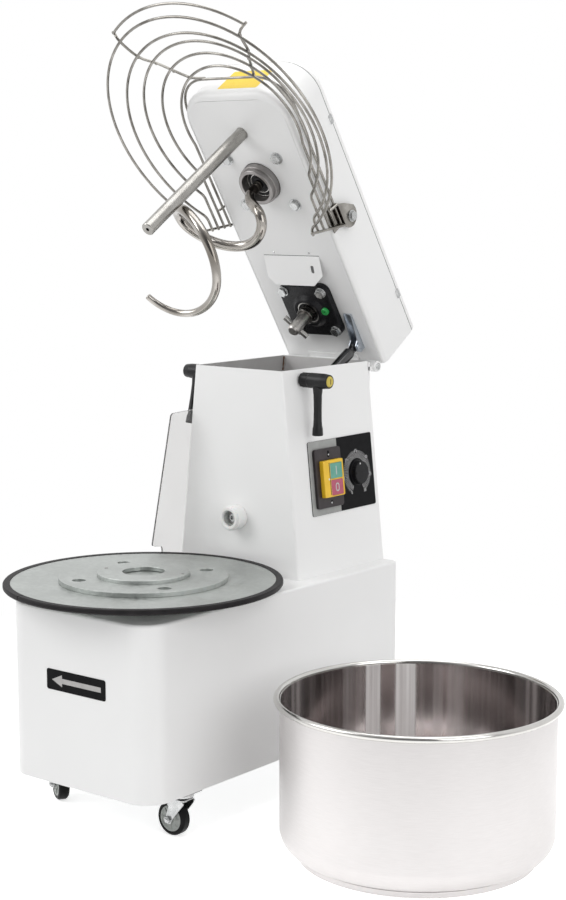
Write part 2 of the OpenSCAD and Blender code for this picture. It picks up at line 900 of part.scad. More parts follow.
// The hook's centreline: radius, turn from +X towards the nose, height.
hook_way = [
    [0, -5, -1], [0, -5, -22], [3, -5, -44], [15, -5, -62], [34, -6, -77], [51, -10, -89],
    [61, -24, -99], [64, -48, -107], [64, -76, -113], [63, -101, -119], [64, -130, -128],
    [66, -159, -140], [70, -188, -155], [73, -215, -169], [76, -245, -190],
    [78, -275, -212], [79, -305, -235], [79, -333, -254], [79, -362, -270],
    [79, -396, -283], [79, -431, -295], [80, -470, -303], [81, -512, -308]
];
hook_steps = 3;
function spline(a, b, c, d, t) =
    0.5 * ((2 * b) + (c - a) * t + (2 * a - 5 * b + 4 * c - d) * t * t
    + (3 * b - a - 3 * c + d) * t * t * t);
hook_polar = [
    for (i = [0 : len(hook_way) - 2], k = [0 : hook_steps - 1])
        spline(hook_way[max(i - 1, 0)], hook_way[i], hook_way[i + 1],
            hook_way[min(i + 2, len(hook_way) - 1)], k / hook_steps),
    hook_way[len(hook_way) - 1]
];
hook_line = [
    for (p = hook_polar)
        [max(p[0], 0) * cos(p[1]), -max(p[0], 0) * sin(p[1]), p[2]]
];
hook_last = len(hook_line) - 1;
hook_radii = [for (i = [0 : hook_last]) 9.5 - 4 * pow(max(0, i - hook_last + 20) / 20, 1.2)];

function unit(v) = v / norm(v);
function way_at(line, i) = unit(line[min(i + 1, len(line) - 1)] - line[max(i - 1, 0)]);
function square_to(n, d) = unit(n - d * (n * d));

// A tube along a line, with one radius for each of its points.
module swept(line, radii, sides) {
    last = len(line) - 1;
    side = [
        for (i = 0, n = [1, 0.1, 0]; i <= last; i = i + 1, n = square_to(n, way_at(line, min(i, last))))
            square_to(n, way_at(line, i))
    ];
    polyhedron(
        points = [
            for (i = [0 : last], k = [0 : sides - 1])
                line[i] + radii[i] * (cos(k * 360 / sides) * side[i]
                + sin(k * 360 / sides) * cross(way_at(line, i), side[i]))
        ],
        faces = [
            [for (k = [0 : sides - 1]) k],
            for (i = [0 : last - 1], k = [0 : sides - 1])
                [
                    i * sides + k, (i + 1) * sides + k,
                    (i + 1) * sides + (k + 1) % sides, i * sides + (k + 1) % sides
                ],
            [for (k = [sides - 1 : -1 : 0]) last * sides + k]
        ],
        convexity = 6
    );
}

module spiral_hook() {
    color(steel)
        on_head()
            translate([0, -spiral_u, 0])
                swept(hook_line, hook_radii, 12);
}

// Places a guard part: as on_head(), with Y from the pivots.
module at_pivot() {
    on_head() translate([0, -pivot_u, 0]) children();
}

// One guard wire: an arc about (0, u) that bends outward at each end into a straight run along Y.
module guard_hoop(u, r, v, end) {
    bend = 20;
    across = guard_w + bend;
    half = 180 - asin(across / (r + bend));
    uc = u + (r + bend) * cos(half);
    turn = atan((u - uc) / across);
    side = [
        for (i = [0 : 20]) [r * sin(half * i / 20), -u - r * cos(half * i / 20), v],
        for (i = [3 : -1 : 0])
            [across - bend * cos(turn * i / 4), -uc - bend * sin(turn * i / 4), v],
        [guard_w, -end, v]
    ];
    wire([
        for (i = [len(side) - 1 : -1 : 1]) [-side[i][0], side[i][1], v],
        for (p = side) p
    ]);
}

// A guard wire along a line.
module wire(line) {
    swept(line, [for (p = line) wire_r], 10);
}

module guard_wires() {
    ribs = [
        [153, -453, -44.3], [138, -438, -54.3], [127, -397, -38.1], [107, -374, -22.1],
        [90, -348, -6.1], [73, -324, 9.9], [57, -312, 27]
    ];
    corner = 65;
    color(steel)
        at_pivot() {
            guard_hoop(245, 236, -60, 31);
            guard_hoop(229, 212, -44, 26);
            guard_hoop(231, 185, -28, 18.5);
            guard_hoop(225, 158, -12, 11);
            guard_hoop(218, 130, 4, 3.5);
            wire([
                [guard_w, 5, 21],
                for (a = [0 : 15 : 90])
                    [guard_w - corner * (1 - cos(a)), -313 + corner * (1 - sin(a)), 21],
                for (a = [90 : -15 : 0])
                    [corner * (1 - cos(a)) - guard_w, -313 + corner * (1 - sin(a)), 21],
                [-guard_w, 5, 21]
            ]);
            wire([for (a = [-36 : 6 : 36]) [256 * sin(a), -245 - 256 * cos(a), -50]]);
            for (s = [0, 1])
                mirror([s, 0, 0])
                    wire(ribs);
        }
}

module guard_ladders() {
    plate_x = guard_w + wire_r + 0.05;
    bar_x = guard_w + 2 * wire_r + 0.1;
    color(steel)
        at_pivot()
            for (s = [0, 1])
                mirror([s, 0, 0]) {
                    difference() {
                        side_plate(plate_x, 3)
                            polygon([
                                [-43, 25.5], [-33, 43], [-22, 57],
                                for (a = [115 : -10 : -55])
                                    [-5 + 23 * cos(a), 45 + 23 * sin(a)],
                                [8.5, 25.5]
                            ]);
                        translate([110, 0, pivot_v])
                            rotate([0, 90, 0])
                                cylinder(r = 5.05, h = 40);
                    }
                    translate([121.2, -43, 25.5]) cube([plate_x - 121.2 + 1, 47, 2.5]);
                    translate([121.2, -43, s == 0 ? -2 : 14]) cube([2, 47, s == 0 ? 28 : 12]);
                    rod([bar_x, -41, -68], [bar_x, 4, 26], wire_r);
                    rod([bar_x, -45, -2], [bar_x, -42, 26], wire_r);
                }
}

// Places its children on the strut's axis: Z runs from the lower pivot to the upper one.
module on_strut() {
    translate([strut_x, strut_up_y, strut_up_z])
        rotate([-strut_turn, 0, 0])
            children();
}

module strut_cylinder() {
    color(black)
        on_strut()
            difference() {
                union() {
                    translate([0, 0, -160]) cylinder(r = 11, h = 140);
                    translate([-4, -7, -22]) cube([8, 14, 22]);
                    rotate([0, 90, 0]) cylinder(r = 8, h = 8, center = true);
                }
                rotate([0, 90, 0]) cylinder(r = 4.05, h = 20, center = true);
                translate([0, 0, -161]) cylinder(r = 5.05, h = 132);
            }
}

module strut_rod() {
    color(steel)
        on_strut()
            difference() {
                union() {
                    translate([0, 0, -strut_len + 5]) cylinder(r = 5, h = strut_len - 5 - 75);
                    translate([0, 0, -strut_len])
                        rotate([0, 90, 0])
                            cylinder(r = 9, h = 8, center = true);
                }
                translate([0, 0, -strut_len]) rotate([0, 90, 0]) cylinder(r = 4.5, h = 20, center = true);
            }
}

// A clamp lever on the right-hand side: hub on its stud, arm hanging, end cap.
module clamp_lever() {
    color(black)
        difference() {
            union() {
                translate([lever_x, 0, 0]) rotate([0, 90, 0]) cylinder(r = 14, h = 50);
                translate([lever_x + 50, 0, 0]) rotate([0, 90, 0]) cylinder(r1 = 14, r2 = 12.5, h = 13);
                translate([144, 0, -80]) cylinder(r1 = 7.5, r2 = 9, h = 80);
                translate([144, 0, -100]) cylinder(r1 = 12, r2 = 7.5, h = 25);
            }
            translate([lever_x - 5, 0, 0]) rotate([0, 90, 0]) cylinder(r = 6.05, h = 62);
        }
    color(yellow)
        translate([lever_x + 63, 0, 0]) rotate([0, 90, 0]) cylinder(r = 9, h = 2);
}

module lever_right() {
    translate([0, lever_y, lever_z]) clamp_lever();
}

module lever_left() {
    translate([0, lever_y, lever_z]) rotate([-13.5, 0, 0]) mirror([1, 0, 0]) clamp_lever();
}

module bowl_shell() {
    ri = bowl_corner - bowl_t;
    color(steel)
        translate([bowl_x, bowl_y, 0]) {
            rotate_extrude($fn = 96) {
                difference() {
                    union() {
                        translate([0, bowl_floor]) square([bowl_r - bowl_corner, bowl_t]);
                        translate([bowl_r - bowl_corner, bowl_floor + bowl_corner])
                            intersection() {
                                difference() {
                                    circle(bowl_corner);
                                    circle(ri);
                                }
                                translate([0, -bowl_corner]) square([bowl_corner, bowl_corner]);
                            }
                        translate([bowl_r - bowl_t, bowl_floor + bowl_corner])
                            square([bowl_t, bowl_h - bowl_floor - bowl_corner - 5]);
                        translate([bowl_r + 4.5, bowl_h - 5.5]) circle(5.5, $fn = 24);
                    }
                }
            }
        }
}

module bowl_foot() {
    color(steel)
        translate([bowl_x, bowl_y, 0]) {
            difference() {
                cylinder(r = foot_r, h = bowl_floor);
                translate([0, 0, -1]) cylinder(r = foot_r - 3, h = 20);
            }
            for (a = [60.4 : 90 : 330.4])
                rotate(a)
                    translate([stud_pcr, 0, 1])
                        cylinder(r = stud_hole_r - 1, h = bowl_floor - 1);
        }
}

base_shell();
base_floor();
arrow_plate();
column_shell();
side_shield();
bumper();
control_plate();
switch_frame();
switch_body();
column_hinge();
column_studs();
drive_motor();
bearing_housings();
drive_bands();
caster_plates();
cable_gland();
turntable_plate();
turntable_edging();
bowl_flange();
bowl_hub();
turntable_shaft();
main_shaft();
coupling_cup();
motor_pulley();
caster_fork_fr();
caster_fork_fl();
caster_fork_rr();
caster_fork_rl();
caster_wheel_fr();
caster_wheel_fl();
caster_wheel_rr();
caster_wheel_rl();
brake_pedal_fr();
brake_pedal_fl();
head_shell();
head_plate();
head_cover();
deflector_flap();
spiral_housing();
head_bolts();
breaker_bar();
flange_bearing();
head_hinge();
strut_bracket();
guard_pivots();
head_chain();
input_shaft();
spiral_shaft();
spiral_hook();
guard_wires();
guard_ladders();
strut_cylinder();
strut_rod();
lever_right();
lever_left();
start_button();
stop_button();
timer_knob();
bowl_shell();
bowl_foot();
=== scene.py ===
import math

import bmesh
import bpy
from mathutils import Matrix, Vector


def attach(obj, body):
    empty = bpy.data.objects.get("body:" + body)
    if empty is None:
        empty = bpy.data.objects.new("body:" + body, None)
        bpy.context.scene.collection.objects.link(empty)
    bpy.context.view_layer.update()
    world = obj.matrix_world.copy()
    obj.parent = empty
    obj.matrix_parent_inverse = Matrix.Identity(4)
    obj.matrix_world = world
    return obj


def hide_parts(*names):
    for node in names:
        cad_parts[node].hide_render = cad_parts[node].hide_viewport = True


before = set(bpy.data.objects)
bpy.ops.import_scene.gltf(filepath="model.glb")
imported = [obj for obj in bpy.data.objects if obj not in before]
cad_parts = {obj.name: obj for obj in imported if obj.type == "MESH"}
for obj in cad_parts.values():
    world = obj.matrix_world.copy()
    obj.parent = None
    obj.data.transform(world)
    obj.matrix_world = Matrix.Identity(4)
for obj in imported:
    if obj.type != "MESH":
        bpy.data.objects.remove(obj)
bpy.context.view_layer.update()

MM = 0.001
PI = math.pi


# ---------------------------------------------------------------- places, in the frame's millimetres

def deg(a):
    return math.radians(a)


def move(x=0, y=0, z=0):
    return Matrix.Translation((x * MM, y * MM, z * MM))


def turn(a, axis="Z"):
    return Matrix.Rotation(deg(a), 4, axis)


def polar(r, a):
    """The point at radius r and angle a, in radians."""
    return r * math.cos(a), r * math.sin(a)


FLOOR = Matrix()

# The head's own frame: its hinge's axis, its lean at rest, and its origin as seen from the hinge.
HINGE_Y, HINGE_Z = 547, 755
HEAD_LEAN = -56.4
HEAD = move(0, HINGE_Y, HINGE_Z) @ turn(HEAD_LEAN, "X") @ move(0, 2.5, 13.5)

# How far along the head its parts sit, and the head's half width, its walls' height and its nose's corners.
NOSE, SPIRAL_AT, SHAFT_AT, BREAKER_AT = 600, 415, 130, 518
HEAD_HALF, HEAD_TALL, NOSE_CORNER = 120, 105.3, 60

# The base cabinet's sides and heights, and its sheet.
BASE_LEFT, BASE_RIGHT, BASE_FRONT, BACK = -160, 177, -182, 526
BASE_FOOT, BASE_TOP = 82, 387
SHEET = 2

# The column: its front, top, and half widths at foot and top. RIGHT and LEFT lie in its leaning sides.
COLUMN_FRONT, COLUMN_TOP = 258.5, 767
FOOT_HALF, TOP_HALF = 144, 103.3
TAPER, COLUMN_TALL = FOOT_HALF - TOP_HALF, COLUMN_TOP - BASE_TOP
LEAN = math.degrees(math.atan(TAPER / COLUMN_TALL))
RIGHT = move(FOOT_HALF, 0, BASE_TOP) @ turn(-LEAN, "Y")
LEFT = move(-FOOT_HALF, 0, BASE_TOP) @ turn(LEAN, "Y")

# The turntable's upper face, the bowl beside the machine, and the holes and studs that fit each other.
TABLE_Z = 414.5
BOWL = move(507.5, 110.5, 0)
STUD_CIRCLE, STUD_TURNS = 117, (60.4, 150.4, 240.4, 330.4)

# Each caster: its swivel's x and y, how far it is turned, and whether it has a brake.
CASTERS = {
    "fr": (151.5, -72, 180, True),
    "fl": (-134.5, -72, 150, True),
    "rr": (151.5, 411, 205, False),
    "rl": (-134.5, 411, 165, False),
}


def slope(z):
    """A height on the column, measured up its leaning side."""
    return (z - BASE_TOP) / math.cos(deg(LEAN))


# ---------------------------------------------------------------- materials

def shader(name):
    m = bpy.data.materials.new(name)
    m.use_nodes = True
    return m, m.node_tree, m.node_tree.nodes["Principled BSDF"]


def link(tree, a, b):
    tree.links.new(a, b)


def add(tree, kind, **values):
    """A node with its properties, and with its inputs where a name starts with i_."""
    node = tree.nodes.new(kind)
    for key, value in values.items():
        if key.startswith("i_"):
            node.inputs[key[2:].replace("_", " ")].default_value = value
        else:
            setattr(node, key, value)
    return node


def feed(tree, kind, *sources, **values):
    """A node whose first inputs take the sources, in order: another node's output, or a plain value."""
    node = add(tree, kind, **values)
    for socket, source in zip(node.inputs, sources):
        if isinstance(source, bpy.types.NodeSocket):
            link(tree, source, socket)
        else:
            socket.default_value = source
    return node


def maths(tree, operation, *sources, **values):
    return feed(tree, "ShaderNodeMath", *sources, operation=operation, **values).outputs[0]


def vectors(tree, operation, *sources, **values):
    """Vector maths; the length, distance and dot product come out as the value, the rest as the vector."""
    node = feed(tree, "ShaderNodeVectorMath", *sources, operation=operation, **values)
    return node.outputs["Value" if operation in ("LENGTH", "DISTANCE", "DOT_PRODUCT") else "Vector"]


def object_place(tree):
    return add(tree, "ShaderNodeTexCoord").outputs["Object"]


def coords(tree, stretch=(1, 1, 1)):
    mapping = add(tree, "ShaderNodeMapping", i_Scale=stretch)
    link(tree, object_place(tree), mapping.inputs["Vector"])
    return mapping.outputs["Vector"]


def round_coords(tree, along=0.0, around=1.0, out=1.0):
    """Distance from local Z, turn about it and height, each scaled, so a grain runs round a turned part."""
    x, y, z = feed(tree, "ShaderNodeSeparateXYZ", object_place(tree)).outputs
    flat = feed(tree, "ShaderNodeCombineXYZ", x, y).outputs[0]
    way = vectors(tree, "SCALE", vectors(tree, "NORMALIZE", flat), i_Scale=around)
    distance = maths(tree, "MULTIPLY", vectors(tree, "LENGTH", flat), out)
    height = maths(tree, "MULTIPLY_ADD", z, along, distance)
    return vectors(tree, "ADD", way, feed(tree, "ShaderNodeCombineXYZ", 0, 0, height).outputs[0])


def noise(tree, vector, scale, detail=2.0, rough=0.5):
    n = add(tree, "ShaderNodeTexNoise", i_Scale=scale, i_Detail=detail, i_Roughness=rough)
    link(tree, vector, n.inputs["Vector"])
    return n.outputs["Fac"]


def between(tree, fac, lo, hi, low=0.3, high=0.7):
    """Stretches the values from low to high over the range from lo to hi."""
    m = add(tree, "ShaderNodeMapRange")
    m.inputs["From Min"].default_value = low
    m.inputs["From Max"].default_value = high
    m.inputs["To Min"].default_value = lo
    m.inputs["To Max"].default_value = hi
    link(tree, fac, m.inputs["Value"])
    return m.outputs["Result"]


def blend_colour(tree, fac, a, b, low=0.3, high=0.7):
    ramp = add(tree, "ShaderNodeValToRGB")
    ramp.color_ramp.elements[0].position = low
    ramp.color_ramp.elements[1].position = high
    ramp.color_ramp.elements[0].color = (*a, 1)
    ramp.color_ramp.elements[1].color = (*b, 1)
    link(tree, fac, ramp.inputs["Fac"])
    return ramp.outputs["Color"]


def bumps(tree, height, strength, distance):
    b = add(tree, "ShaderNodeBump", i_Strength=strength, i_Distance=distance)
    link(tree, height, b.inputs["Height"])
    return b.outputs["Normal"]


def finish(name, a, b, rough, metal=0.0, patch=18, grain=900, bump=(0.08, 0.0002), turned=None,
           **sockets):
    """A surface with broad colour patches, a fine grain in its roughness, and the same grain as bump."""
    m, tree, bsdf = shader(name)
    where = coords(tree)
    fine = round_coords(tree, **turned) if turned else coords(tree)
    link(tree, blend_colour(tree, noise(tree, where, patch, 2), a, b), bsdf.inputs["Base Color"])
    tone = noise(tree, fine, grain, 3)
    link(tree, between(tree, tone, rough[0], rough[1]), bsdf.inputs["Roughness"])
    link(tree, bumps(tree, tone, *bump), bsdf.inputs["Normal"])
    bsdf.inputs["Metallic"].default_value = metal
    for key, value in sockets.items():
        bsdf.inputs[key.replace("_", " ")].default_value = value
    return m


def galvanised():
    """Zinc sheet: soft crystals in tone and gloss, with a fine rolled grain."""
    m, tree, bsdf = shader("galvanised_sheet")
    where = coords(tree)
    cells = add(tree, "ShaderNodeTexVoronoi", i_Scale=160.0, i_Randomness=1.0)
    link(tree, where, cells.inputs["Vector"])
    crystal = feed(tree, "ShaderNodeSeparateColor", cells.outputs["Color"]).outputs[0]
    tone = maths(tree, "MULTIPLY_ADD", crystal, 0.35, noise(tree, where, 9, 3))
    link(tree, blend_colour(tree, tone, (0.40, 0.42, 0.405), (0.50, 0.52, 0.505), 0.45, 0.85),
         bsdf.inputs["Base Color"])
    link(tree, between(tree, tone, 0.36, 0.52, 0.4, 0.9), bsdf.inputs["Roughness"])
    grain = noise(tree, coords(tree, (1, 6, 1)), 500, 3)
    link(tree, bumps(tree, grain, 0.15, 0.0001), bsdf.inputs["Normal"])
    bsdf.inputs["Metallic"].default_value = 1.0
    return m


def bowl_outside():
    """Satin stainless: a very faint brushing round the wall, pale and even."""
    m, tree, bsdf = shader("bowl_satin_stainless")
    line = noise(tree, round_coords(tree, along=30.0, around=0.25, out=6.0), 40, 4, 0.6)
    cloud = noise(tree, coords(tree), 7, 2)
    link(tree, blend_colour(tree, line, (0.63, 0.61, 0.605), (0.675, 0.655, 0.65)), bsdf.inputs["Base Color"])
    link(tree, between(tree, cloud, 0.40, 0.47), bsdf.inputs["Roughness"])
    link(tree, bumps(tree, line, 0.03, 0.00006), bsdf.inputs["Normal"])
    bsdf.inputs["Metallic"].default_value = 1.0
    return m


def bowl_inside():
    """Polished stainless with fine upright streaks, and painted reflections: soft bright bands, paler, rougher
    and less metallic, on a darker, glossier ground.
    """
    # Each painted reflection band: its turn about the bowl, its half width in degrees, and its strength.
    painted_reflection_bands = [(144.8, 4.0, 1.0), (129.8, 5.2, 1.0), (115, 2.5, 0.16), (108, 4, 0.14), (157, 3, 0.12),
               (20, 6, 0.6), (250, 7, 0.7), (300, 4, 0.5), (330, 9, 0.3)]
    soft_edge = 0.72
    m, tree, bsdf = shader("bowl_polished_stainless")
    way = round_coords(tree, along=0.0, around=1.0, out=0.0)
    painted_reflections = 0.0
    for a, wide, power in painted_reflection_bands:
        facing = vectors(tree, "DOT_PRODUCT", way, (*polar(1, deg(a)), 0))
        edge, core = math.cos(deg(wide)), math.cos(deg(wide * soft_edge))
        painted_reflections = maths(tree, "ADD", painted_reflections, between(tree, facing, 0, power, edge, core))
    fine = noise(tree, round_coords(tree, along=0.6, around=14.0, out=0.0), 2.2, 4, 0.65)
    # The painted reflection bands, broken up by the fine streak grain, make the wall pale, rough and less
    # metallic where they fall.
    reflections_and_streaks = maths(tree, "MULTIPLY_ADD", painted_reflections, between(tree, fine, 0.6, 1.0), between(tree, fine, -0.05, 0.09),
                 use_clamp=True)
    tone = blend_colour(tree, reflections_and_streaks, (0.55, 0.515, 0.51), (0.93, 0.91, 0.90), 0.0, 1.0)
    link(tree, tone, bsdf.inputs["Base Color"])
    link(tree, between(tree, reflections_and_streaks, 1.0, 0.12, 0.0, 1.0), bsdf.inputs["Metallic"])
    link(tree, between(tree, reflections_and_streaks, 0.13, 0.40, 0.0, 1.0), bsdf.inputs["Roughness"])
    return m


def clear_sheet():
    """Clear plastic, smooth and faintly grey."""
    m, tree, bsdf = shader("clear_polycarbonate")
    where = coords(tree)
    link(tree, blend_colour(tree, noise(tree, where, 12, 2), (0.77, 0.765, 0.76), (0.80, 0.795, 0.79)),
         bsdf.inputs["Base Color"])
    link(tree, between(tree, noise(tree, where, 60, 3), 0.02, 0.06), bsdf.inputs["Roughness"])
    bsdf.inputs["Transmission Weight"].default_value = 0.94
    bsdf.inputs["IOR"].default_value = 1.2
    return m


# How a grain runs on a turned part: in fine rings round it, or along it.
LATHE_MARKS = dict(along=10.0, around=0.02, out=10.0)
BRUSHED_ALONG = dict(along=0.4, around=0.03, out=8.0)

# The looks, by the names that the pieces use.
M = {
    "paint": finish("white_powder_coat", (0.865, 0.865, 0.862), (0.89, 0.89, 0.887), (0.34, 0.42),
        patch=4, grain=520, bump=(0.10, 0.00012), Coat_Weight=0.12, Coat_Roughness=0.25),
    "zinc": finish("zinc_plated", (0.42, 0.43, 0.43), (0.58, 0.585, 0.585), (0.18, 0.34), 1.0,
        patch=60, grain=700, bump=(0.12, 0.00012)),
    "bright": finish("polished_stainless", (0.56, 0.55, 0.53), (0.62, 0.61, 0.59), (0.10, 0.20), 1.0,
        patch=25, grain=600, bump=(0.05, 0.00006)),
    "wire": finish("bright_wire", (0.17, 0.16, 0.145), (0.38, 0.365, 0.34), (0.07, 0.18), 1.0,
        patch=30, grain=500, bump=(0.05, 0.00006)),
    "hook": finish("forged_stainless", (0.23, 0.21, 0.185), (0.52, 0.495, 0.465), (0.07, 0.16), 1.0,
        patch=16, grain=300, bump=(0.10, 0.0002)),
    "satin": finish("satin_stainless", (0.34, 0.33, 0.31), (0.43, 0.42, 0.40), (0.24, 0.36), 1.0,
        patch=30, grain=120, bump=(0.08, 0.00006), turned=BRUSHED_ALONG),
    "machined": finish("machined_steel", (0.28, 0.275, 0.27), (0.36, 0.355, 0.35), (0.24, 0.38), 1.0,
        patch=50, grain=160, bump=(0.14, 0.00008), turned=LATHE_MARKS),
    "seat": finish("cast_grey_seat", (0.28, 0.265, 0.26), (0.38, 0.365, 0.36), (0.34, 0.5), 1.0,
        patch=24, grain=380, bump=(0.3, 0.0002)),
    "blue_zinc": finish("blue_zinc_plate", (0.46, 0.50, 0.55), (0.58, 0.62, 0.67), (0.24, 0.38), 1.0,
        patch=60, grain=700, bump=(0.12, 0.00012)),
    "shaft": finish("dull_turned_steel", (0.52, 0.50, 0.475), (0.64, 0.62, 0.595), (0.24, 0.40), 1.0,
        patch=70, grain=120, bump=(0.16, 0.0001), turned=LATHE_MARKS),
    "black_cast": finish("painted_cast_iron", (0.005, 0.005, 0.006), (0.012, 0.012, 0.014), (0.22, 0.42),
        patch=60, grain=420, bump=(0.35, 0.0004), Specular_IOR_Level=0.22),
    "plastic": finish("black_moulding", (0.007, 0.007, 0.008), (0.014, 0.014, 0.015), (0.30, 0.42),
        patch=40, grain=1500, bump=(0.15, 0.0001), Specular_IOR_Level=0.3),
    "rubber": finish("black_rubber", (0.010, 0.009, 0.010), (0.020, 0.018, 0.019), (0.42, 0.62),
        patch=40, grain=900, bump=(0.2, 0.0002), Specular_IOR_Level=0.15),
    "tyre": finish("tyre_rubber", (0.005, 0.005, 0.005), (0.010, 0.010, 0.011), (0.34, 0.5),
        patch=50, grain=1100, bump=(0.2, 0.0002), Specular_IOR_Level=0.12),
    "collar": finish("dark_collar", (0.10, 0.095, 0.09), (0.20, 0.19, 0.18), (0.18, 0.32), 1.0,
        patch=40, grain=600, bump=(0.2, 0.0002)),
    "strut": finish("glossy_black_tube", (0.010, 0.010, 0.011), (0.022, 0.022, 0.024), (0.08, 0.16),
        patch=20, grain=300, Specular_IOR_Level=0.9),
    "nylon": finish("white_nylon", (0.78, 0.78, 0.77), (0.83, 0.83, 0.82), (0.30, 0.40),
        patch=40, grain=700, bump=(0.05, 0.0001),
        Subsurface_Weight=0.08, Subsurface_Scale=0.004),
    "hub": finish("grey_wheel_hub", (0.40, 0.42, 0.40), (0.50, 0.52, 0.50), (0.35, 0.5),
        patch=60, grain=900, bump=(0.15, 0.0002)),
    "panel": finish("black_panel", (0.005, 0.005, 0.006), (0.008, 0.008, 0.009), (0.24, 0.36),
        patch=60, grain=1200, bump=(0.1, 0.00006), Specular_IOR_Level=0.06),
    "seam": finish("dark_seam", (0.10, 0.10, 0.10), (0.15, 0.15, 0.15), (0.5, 0.6), patch=60, grain=900),
    "knob": finish("knob_black", (0.005, 0.005, 0.006), (0.010, 0.010, 0.011), (0.20, 0.30),
        patch=60, grain=1200, bump=(0.1, 0.00006), Specular_IOR_Level=0.18),
    "surround": finish("switch_surround", (0.026, 0.020, 0.022), (0.038, 0.031, 0.034), (0.28, 0.40),
        patch=60, grain=1200, bump=(0.15, 0.0001), Specular_IOR_Level=0.3),
    "panel_grey": finish("panel_grey_print", (0.31, 0.315, 0.305), (0.36, 0.365, 0.355), (0.28, 0.38),
        patch=60, grain=1200, bump=(0.1, 0.00006)),
    "print": finish("white_print", (0.66, 0.66, 0.66), (0.72, 0.72, 0.72), (0.4, 0.5),
        patch=80, grain=1500, bump=(0.05, 0.00005)),
    "bare": finish("bare_sheet", (0.60, 0.59, 0.585), (0.70, 0.69, 0.685), (0.40, 0.55), 0.35,
        patch=16, grain=300, bump=(0.15, 0.0002)),
    "tarnish": finish("burnt_weld", (0.16, 0.09, 0.06), (0.30, 0.20, 0.15), (0.45, 0.6), 0.6,
        patch=120, grain=500, bump=(0.5, 0.0006)),
    "mark": finish("pale_print", (0.46, 0.50, 0.48), (0.52, 0.56, 0.54), (0.4, 0.5),
        patch=80, grain=1500, bump=(0.05, 0.00005)),
    "arrow": finish("grey_print", (0.40, 0.39, 0.385), (0.46, 0.45, 0.445), (0.4, 0.5),
        patch=60, grain=1500, bump=(0.05, 0.00005)),
    "yellow": finish("yellow_moulding", (0.82, 0.50, 0.02), (0.88, 0.56, 0.03), (0.28, 0.4),
        patch=50, grain=1400, bump=(0.08, 0.0001)),
    "cap_yellow": finish("pale_yellow_cap", (0.56, 0.44, 0.07), (0.64, 0.51, 0.10), (0.4, 0.5),
        patch=60, grain=600),
    "label": finish("yellow_foil", (0.86, 0.60, 0.02), (0.91, 0.66, 0.04), (0.25, 0.35),
        patch=30, grain=1200, bump=(0.05, 0.00005)),
    "green": finish("green_button", (0.10, 0.33, 0.26), (0.13, 0.38, 0.30), (0.25, 0.38),
        patch=60, grain=1400, bump=(0.08, 0.0001)),
    "red": finish("red_button", (0.42, 0.07, 0.13), (0.48, 0.09, 0.16), (0.25, 0.38),
        patch=60, grain=1400, bump=(0.08, 0.0001)),
    "cap": finish("green_cap", (0.02, 0.30, 0.06), (0.03, 0.38, 0.09), (0.3, 0.42),
        patch=60, grain=1000, bump=(0.1, 0.0001)),
    "motor": finish("motor_enamel", (0.13, 0.14, 0.15), (0.17, 0.18, 0.19), (0.35, 0.5),
        patch=30, grain=500, bump=(0.2, 0.0003)),
    "belt": finish("belt_rubber", (0.015, 0.015, 0.016), (0.03, 0.03, 0.032), (0.5, 0.7),
        patch=40, grain=700, bump=(0.3, 0.0003)),
    "chain": finish("oiled_chain", (0.10, 0.09, 0.08), (0.16, 0.15, 0.13), (0.3, 0.45), 1.0,
        patch=90, grain=500, bump=(0.4, 0.0006)),
    "galv": galvanised(),
    "bowl": bowl_outside(),
    "bowl_inside": bowl_inside(),
    "clear": clear_sheet(),
}


# ---------------------------------------------------------------- mesh making

def in_scene(name, data):
    obj = bpy.data.objects.new(name, data)
    bpy.context.scene.collection.objects.link(obj)
    return obj


def settle(obj):
    """Puts the modifiers' result into the mesh, or gives the mesh of a curve or a text."""
    bpy.context.view_layer.update()
    seen = obj.evaluated_get(bpy.context.evaluated_depsgraph_get())
    mesh = bpy.data.meshes.new_from_object(seen)
    obj.modifiers.clear()
    if obj.type == "MESH":
        obj.data = mesh
        return obj
    return mesh


def show(name, mesh, material, body, where=FLOOR, nodes=(), slot=None, bevel=0.0, sharp=35):
    """Makes the piece, rounds its edges, shades it and puts it on its body."""
    obj = in_scene(name, mesh)
    obj.matrix_world = where
    mesh.materials.clear()
    mesh.materials.append(M[material])
    if bevel:
        mod = obj.modifiers.new("edge", "BEVEL")
        mod.width = bevel * MM
        mod.segments = 2
        mod.limit_method = "ANGLE"
        mod.angle_limit = deg(sharp)
        mod.use_clamp_overlap = True
        settle(obj)
    mesh = obj.data
    mesh.shade_smooth()
    mesh.set_sharp_from_angle(angle=deg(max(sharp, 50) if bevel else sharp))
    mod = obj.modifiers.new("normals", "WEIGHTED_NORMAL")
    mod.keep_sharp = True
    settle(obj)
    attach(obj, body)
    if nodes:
        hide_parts(*nodes)
    return obj


def mesh_of(name, verts, faces):
    mesh = bpy.data.meshes.new(name)
    mesh.from_pydata([(x * MM, y * MM, z * MM) for x, y, z in verts], [], faces)
    mesh.validate()
    mesh.update()
    return mesh


def bands(starts, count):
    """The faces between rings of count points, where starts are the numbers of the rings' first points."""
    return [(a + k, a + (k + 1) % count, b + (k + 1) % count, b + k)
            for a, b in zip(starts, starts[1:]) for k in range(count)]


def rounded(point):
    return len(point) > 2 and point[2]


